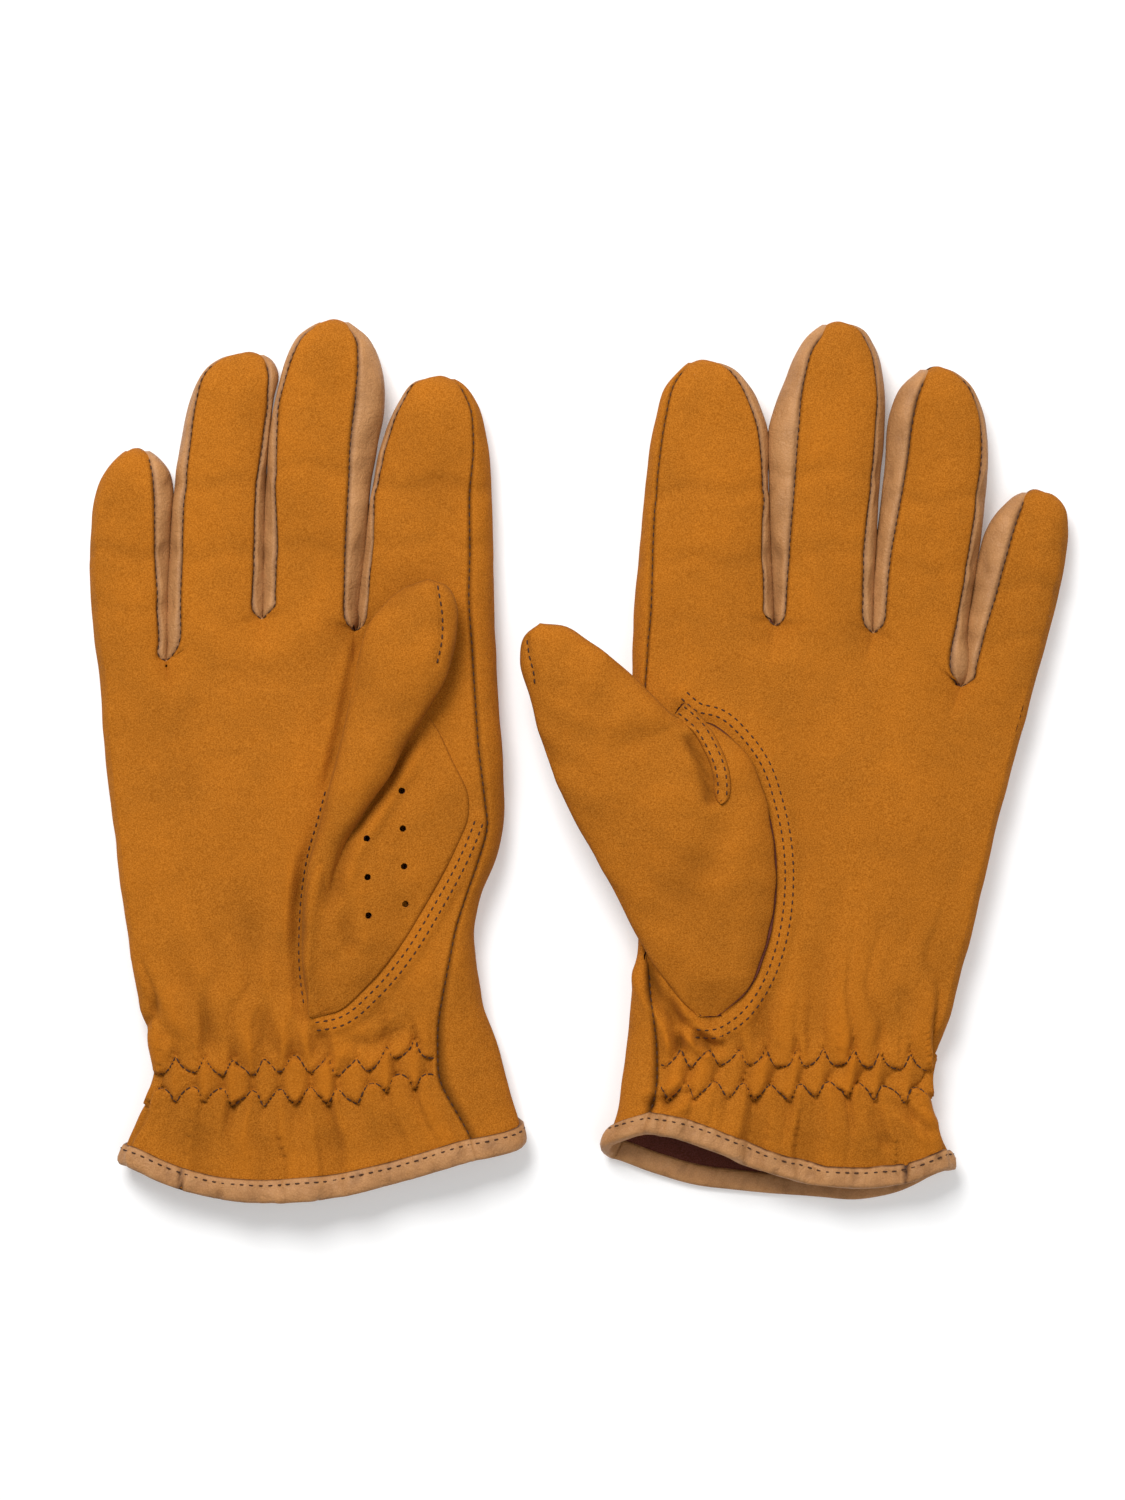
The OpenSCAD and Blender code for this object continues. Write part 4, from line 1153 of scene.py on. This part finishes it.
def binding(side, skin, facts, joint):
    """The strip folded over the cuff's edge, and the stitches that hold it."""
    co, normal = skin.co[facts["ring"]], skin.normal[facts["ring"]].copy()
    step = np.linalg.norm(co[1] - co[0], axis=1).mean()
    for _ in range(6):
        normal = (np.roll(normal, 1, 1) + normal + np.roll(normal, -1, 1)) / 3
    normal /= np.linalg.norm(normal, axis=2)[..., None]
    cols = co.shape[1]
    joint_x = co[0, int(joint * facts["front_columns"]), 0]
    wrinkle, fine = waves(41, 6), waves(42, 2.6)
    rings, relief = [], []
    for reach, out in BINDING_PROFILE:
        p = cuff_point(co, normal, step, reach, out)
        side_on = 1 if out > 0 else 0
        crease = 1.1 * np.exp(-((p[:, 0] - joint_x) / 0.6) ** 2) * (p[:, 2] > 7) * side_on
        bump = 0.16 * wrinkle(p) + 0.10 * fine(p * [1.6, 0.5, 0.5])
        p = p + normal[1] * (bump * side_on - crease)[:, None]
        rings.append(p)
        # painted highlight and shade on the wrinkles, and painted shade in the crease at the joint and along
        # the inner edge where the binding lies on the leather
        relief.append(1.2 * bump - crease - 0.8 * (reach > 5.4))
    profile = len(rings)
    points = np.concatenate(rings)
    faces = [(k * cols + j, k * cols + (j + 1) % cols, ((k + 1) % profile) * cols + (j + 1) % cols,
              ((k + 1) % profile) * cols + j) for k in range(profile) for j in range(cols)]
    points[:, 2] = np.maximum(points[:, 2], 0.05)
    relief = np.concatenate(relief)
    obj = mesh_object(side + "_cuff_binding_leather", points, [f[::-1] for f in faces], side, None, relief)
    line = cuff_point(co, normal, step, STITCH_LINE, 1.2)
    line[:, 2] = np.maximum(line[:, 2], 0.35)
    starts, ends = along(np.vstack([line, line[:1]]), BINDING_PITCH, BINDING_STITCH)
    return obj, starts, ends, line, normal[1]


# ---------------------------------------------------------------- one glove


def line_stitches(name, side, skin, lines, lift=0.12):
    """Stitches along lines of the skin's own points."""
    starts, ends, normals = [], [], []
    for line in lines:
        co = skin.co[line] + skin.normal[line] * lift
        a, b = along(co)
        nearest = np.argmin(np.sum((a[:, None] - co[None]) ** 2, axis=2), axis=1)
        starts.append(a)
        ends.append(b)
        normals.append(skin.normal[line][nearest])
    return stitch_mesh(name, side, np.vstack(starts), np.vstack(ends), np.vstack(normals), SEAM_THREAD)


def zigzag_lines(hand):
    """The two rows of shirring as lines in x and y."""
    low, high = wrist_ends(hand)
    x = np.linspace(low + 1, high - 1, 600)
    _, y_up, y_low = zigzag_rows(hand, x)
    return [np.column_stack([x, y_up]), np.column_stack([x, y_low])]


def two_bodies(obj, side, body, start, end):
    """Bakes a piece's placement into its mesh. Its side, body, start and end are not used."""
    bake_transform(obj)


def leather(skin, name, side, node, slot="nubuck", thickness=LEATHER, holes=()):
    """A panel with its outer and inner materials."""
    obj = leather_piece(skin, name, side, thickness, side + "_" + node + "_leather", holes)
    finish_piece(obj, NUBUCK if slot == "nubuck" else SMOOTH, slot)
    obj.data.materials.append(INSIDE)
    return obj


def threads(obj, *nodes):
    """Gives a row of stitches its thread."""
    return finish_piece(obj, THREAD_MATERIAL, "thread", *nodes)


BEND_HALF = 8.3        # half the span about a finger's hinge that is handed to two_bodies


def build_fingers(side, hand, skin, facts):
    """Panels, fourchettes and seam threads of the four fingers."""
    for f, finger_name in enumerate(FINGERS):
        root = hand["hinges"][f]
        ends = (0, root - BEND_HALF, FINGER_H / 2), (0, root + BEND_HALF, FINGER_H / 2)
        names = [n for n in np.unique(skin.names) if n.startswith(finger_name)]
        for name in names:
            slot = "smooth_leather" if "fourchette" in name else "nubuck"
            piece = leather(skin, name, side, name, slot, STRIP if slot == "smooth_leather" else LEATHER)
            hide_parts(side + "_" + name)
            two_bodies(piece, side, finger_name, *ends)
        seam = line_stitches(side + "_" + finger_name + "_seam_thread", side, skin, facts["finger_seams"][f])
        two_bodies(threads(seam), side, finger_name, *ends)


def build_palm(side, hand, skin, facts, surface):
    """Palm and back panels, cuff binding and the stitches of the wrist and the side."""
    palm_body = side + "_palm"
    for name in ("palm_panel", "back_panel"):
        piece = leather(skin, name, side, name)
        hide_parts(side + "_" + name)
        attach(piece, palm_body)
    edge, starts, ends, line, normal = binding(side, skin, facts, hand["binding_joint"])
    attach(finish_piece(edge, SMOOTH, "smooth_leather", side + "_cuff_binding"), palm_body)
    nearest = np.argmin(np.sum((starts[:, None] - line[None]) ** 2, axis=2), axis=1)
    edge_thread = stitch_mesh(side + "_binding_stitches", side, starts, ends, normal[nearest])
    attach(threads(edge_thread, side + "_binding_thread"), palm_body)
    zigzag = sewn(side + "_shirring_stitches", side, surface, zigzag_lines(hand), sink=-0.1,
                  pitch=2.0, length=1.75)
    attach(threads(zigzag, side + "_shirring_thread"), palm_body)
    seam = line_stitches(side + "_side_seam_thread", side, skin, [facts["seam"]])
    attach(threads(seam), palm_body)


def tip_thread(side, on_thumb):
    """The row of stitches at the thumb's tip."""
    facts = THUMBS[side]
    tip = sewn(side + "_thumb_tip_thread", side, on_thumb, [spline(facts["tip_seam"], 30)], sink=-0.15)
    two_bodies(threads(tip), side, "thumb", *facts["blend"])


def build_right_thumb(surface):
    """The folded thumb: its base sewn to the palm and its tube lying over them."""
    side = "right"
    base = thumb_base(surface)
    piece = leather(base, "base", side, "thumb_base", holes=vents_on_base())
    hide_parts("right_thumb_base")
    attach(piece, "right_palm")
    tube_skin, _ = thumb_tube(side, surface)
    for name in ("front", "back"):
        piece = leather(tube_skin, name, side, "thumb_" + name)
        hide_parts(side + "_thumb_" + name)
        two_bodies(piece, side, "thumb", *THUMBS[side]["blend"])
    tip_thread(side, Surface(tube_skin.co, tube_skin.normal))
    seam = spline(BASE_SEAM[4:], 80)
    rows = [beside(seam, -1.7), beside(seam, -4.0), spline(BASE_STITCHES, 60)]
    thread = sewn(side + "_thumb_seam_stitches", side, surface, rows)
    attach(threads(thread, "right_thumb_thread"), "right_palm")


def build_left_thumb(surface, skin):
    """The thumb out to the side: its tube, the tongue in its crotch and the oval seam."""
    side = "left"
    tube_skin, inner = thumb_tube(side, surface)
    ends = THUMBS[side]["blend"]
    top = leather(tube_skin, "front", side, "thumb_front")
    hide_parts("left_thumb_front", "left_thumb_base")
    two_bodies(top, side, "thumb", *ends)
    under = leather(tube_skin, "back", side, "thumb_back", holes=vents_under(inner))
    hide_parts("left_thumb_back")
    two_bodies(under, side, "thumb", *ends)
    both = [np.vstack(parts) for parts in ((tube_skin.co, skin.co), (tube_skin.normal, skin.normal))]
    tip_thread(side, Surface(*both))
    strip, line = tongue(Surface(tube_skin.co, tube_skin.normal))
    two_bodies(leather(strip, "tongue", side, "thumb_tongue"), side, "thumb", *ends)
    arc = spline(HANDS[side]["band"], 120)
    rows = [beside(arc, 1.8), beside(arc, 4.1)]
    thread = sewn(side + "_thumb_seam_stitches", side, surface, rows)
    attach(threads(thread, "left_thumb_thread"), "left_palm")
    rows = [beside(line[:-3], 1.2), beside(line[:-3], -1.2)]
    thread = sewn(side + "_tongue_stitches", side, Surface(strip.co, strip.normal), rows)
    two_bodies(threads(thread), side, "thumb", *ends)


def build_glove(side):
    """One whole glove, and the material of its elastic band, which keeps its CAD shape."""
    hand = HANDS[side]
    skin, facts = glove_skin(hand, side)
    top = np.isin(np.arange(len(skin.co)), np.unique(skin.quads[skin.names == "palm_panel"]))
    surface = Surface(skin.co[top], skin.normal[top])
    build_palm(side, hand, skin, facts, surface)
    build_fingers(side, hand, skin, facts)
    if side == "right":
        build_right_thumb(surface)
    else:
        build_left_thumb(surface, skin)
    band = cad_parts[side + "_elastic_band"]
    band.data.materials.clear()
    band.data.materials.append(ELASTIC)


# ---------------------------------------------------------------- stage


LIGHTS = (("key", (-0.34, 0.74, 1.0), 17.0, 0.6), ("fill", (0.6, -0.3, 1.1), 4.6, 1.2))


def set_stage():
    """A plain pale floor, an even white world and two soft lights that face the gloves."""
    scene = bpy.context.scene
    scene.view_settings.view_transform = "Standard"
    bpy.ops.mesh.primitive_plane_add(size=6, location=(0, 0, -0.0002))
    floor = bpy.context.object
    floor.name = "floor"
    material, _, shader = node_material("floor")
    shader.inputs["Base Color"].default_value = (0.80, 0.80, 0.80, 1)
    shader.inputs["Roughness"].default_value = 0.9
    shader.inputs["Emission Color"].default_value = (1, 1, 1, 1)
    shader.inputs["Emission Strength"].default_value = 0.22
    floor.data.materials.append(material)
    world = bpy.data.worlds.new("world")
    scene.world = world
    world.use_nodes = True
    world.node_tree.nodes["Background"].inputs["Color"].default_value = (1, 1, 1, 1)
    world.node_tree.nodes["Background"].inputs["Strength"].default_value = 0.30
    for name, place, power, size in LIGHTS:
        light = bpy.data.objects.new(name, bpy.data.lights.new(name, "AREA"))
        light.data.energy = power
        light.data.size = size
        light.location = place
        x, y, z = place
        light.rotation_euler = (math.acos(z / math.hypot(x, y, z)), 0, math.atan2(-y, -x) - math.pi / 2)
        scene.collection.objects.link(light)


def set_camera():
    """Straight above, with the frame's 420 mm height just filled."""
    data = bpy.data.cameras.new("camera")
    data.lens = 85
    camera = bpy.data.objects.new("camera", data)
    camera.location = (-0.0057, 0.0035, 0.420 * data.lens / data.sensor_width + 0.010)
    bpy.context.scene.collection.objects.link(camera)
    bpy.context.scene.camera = camera


set_camera()
for side in PLACE:
    build_glove(side)
set_stage()
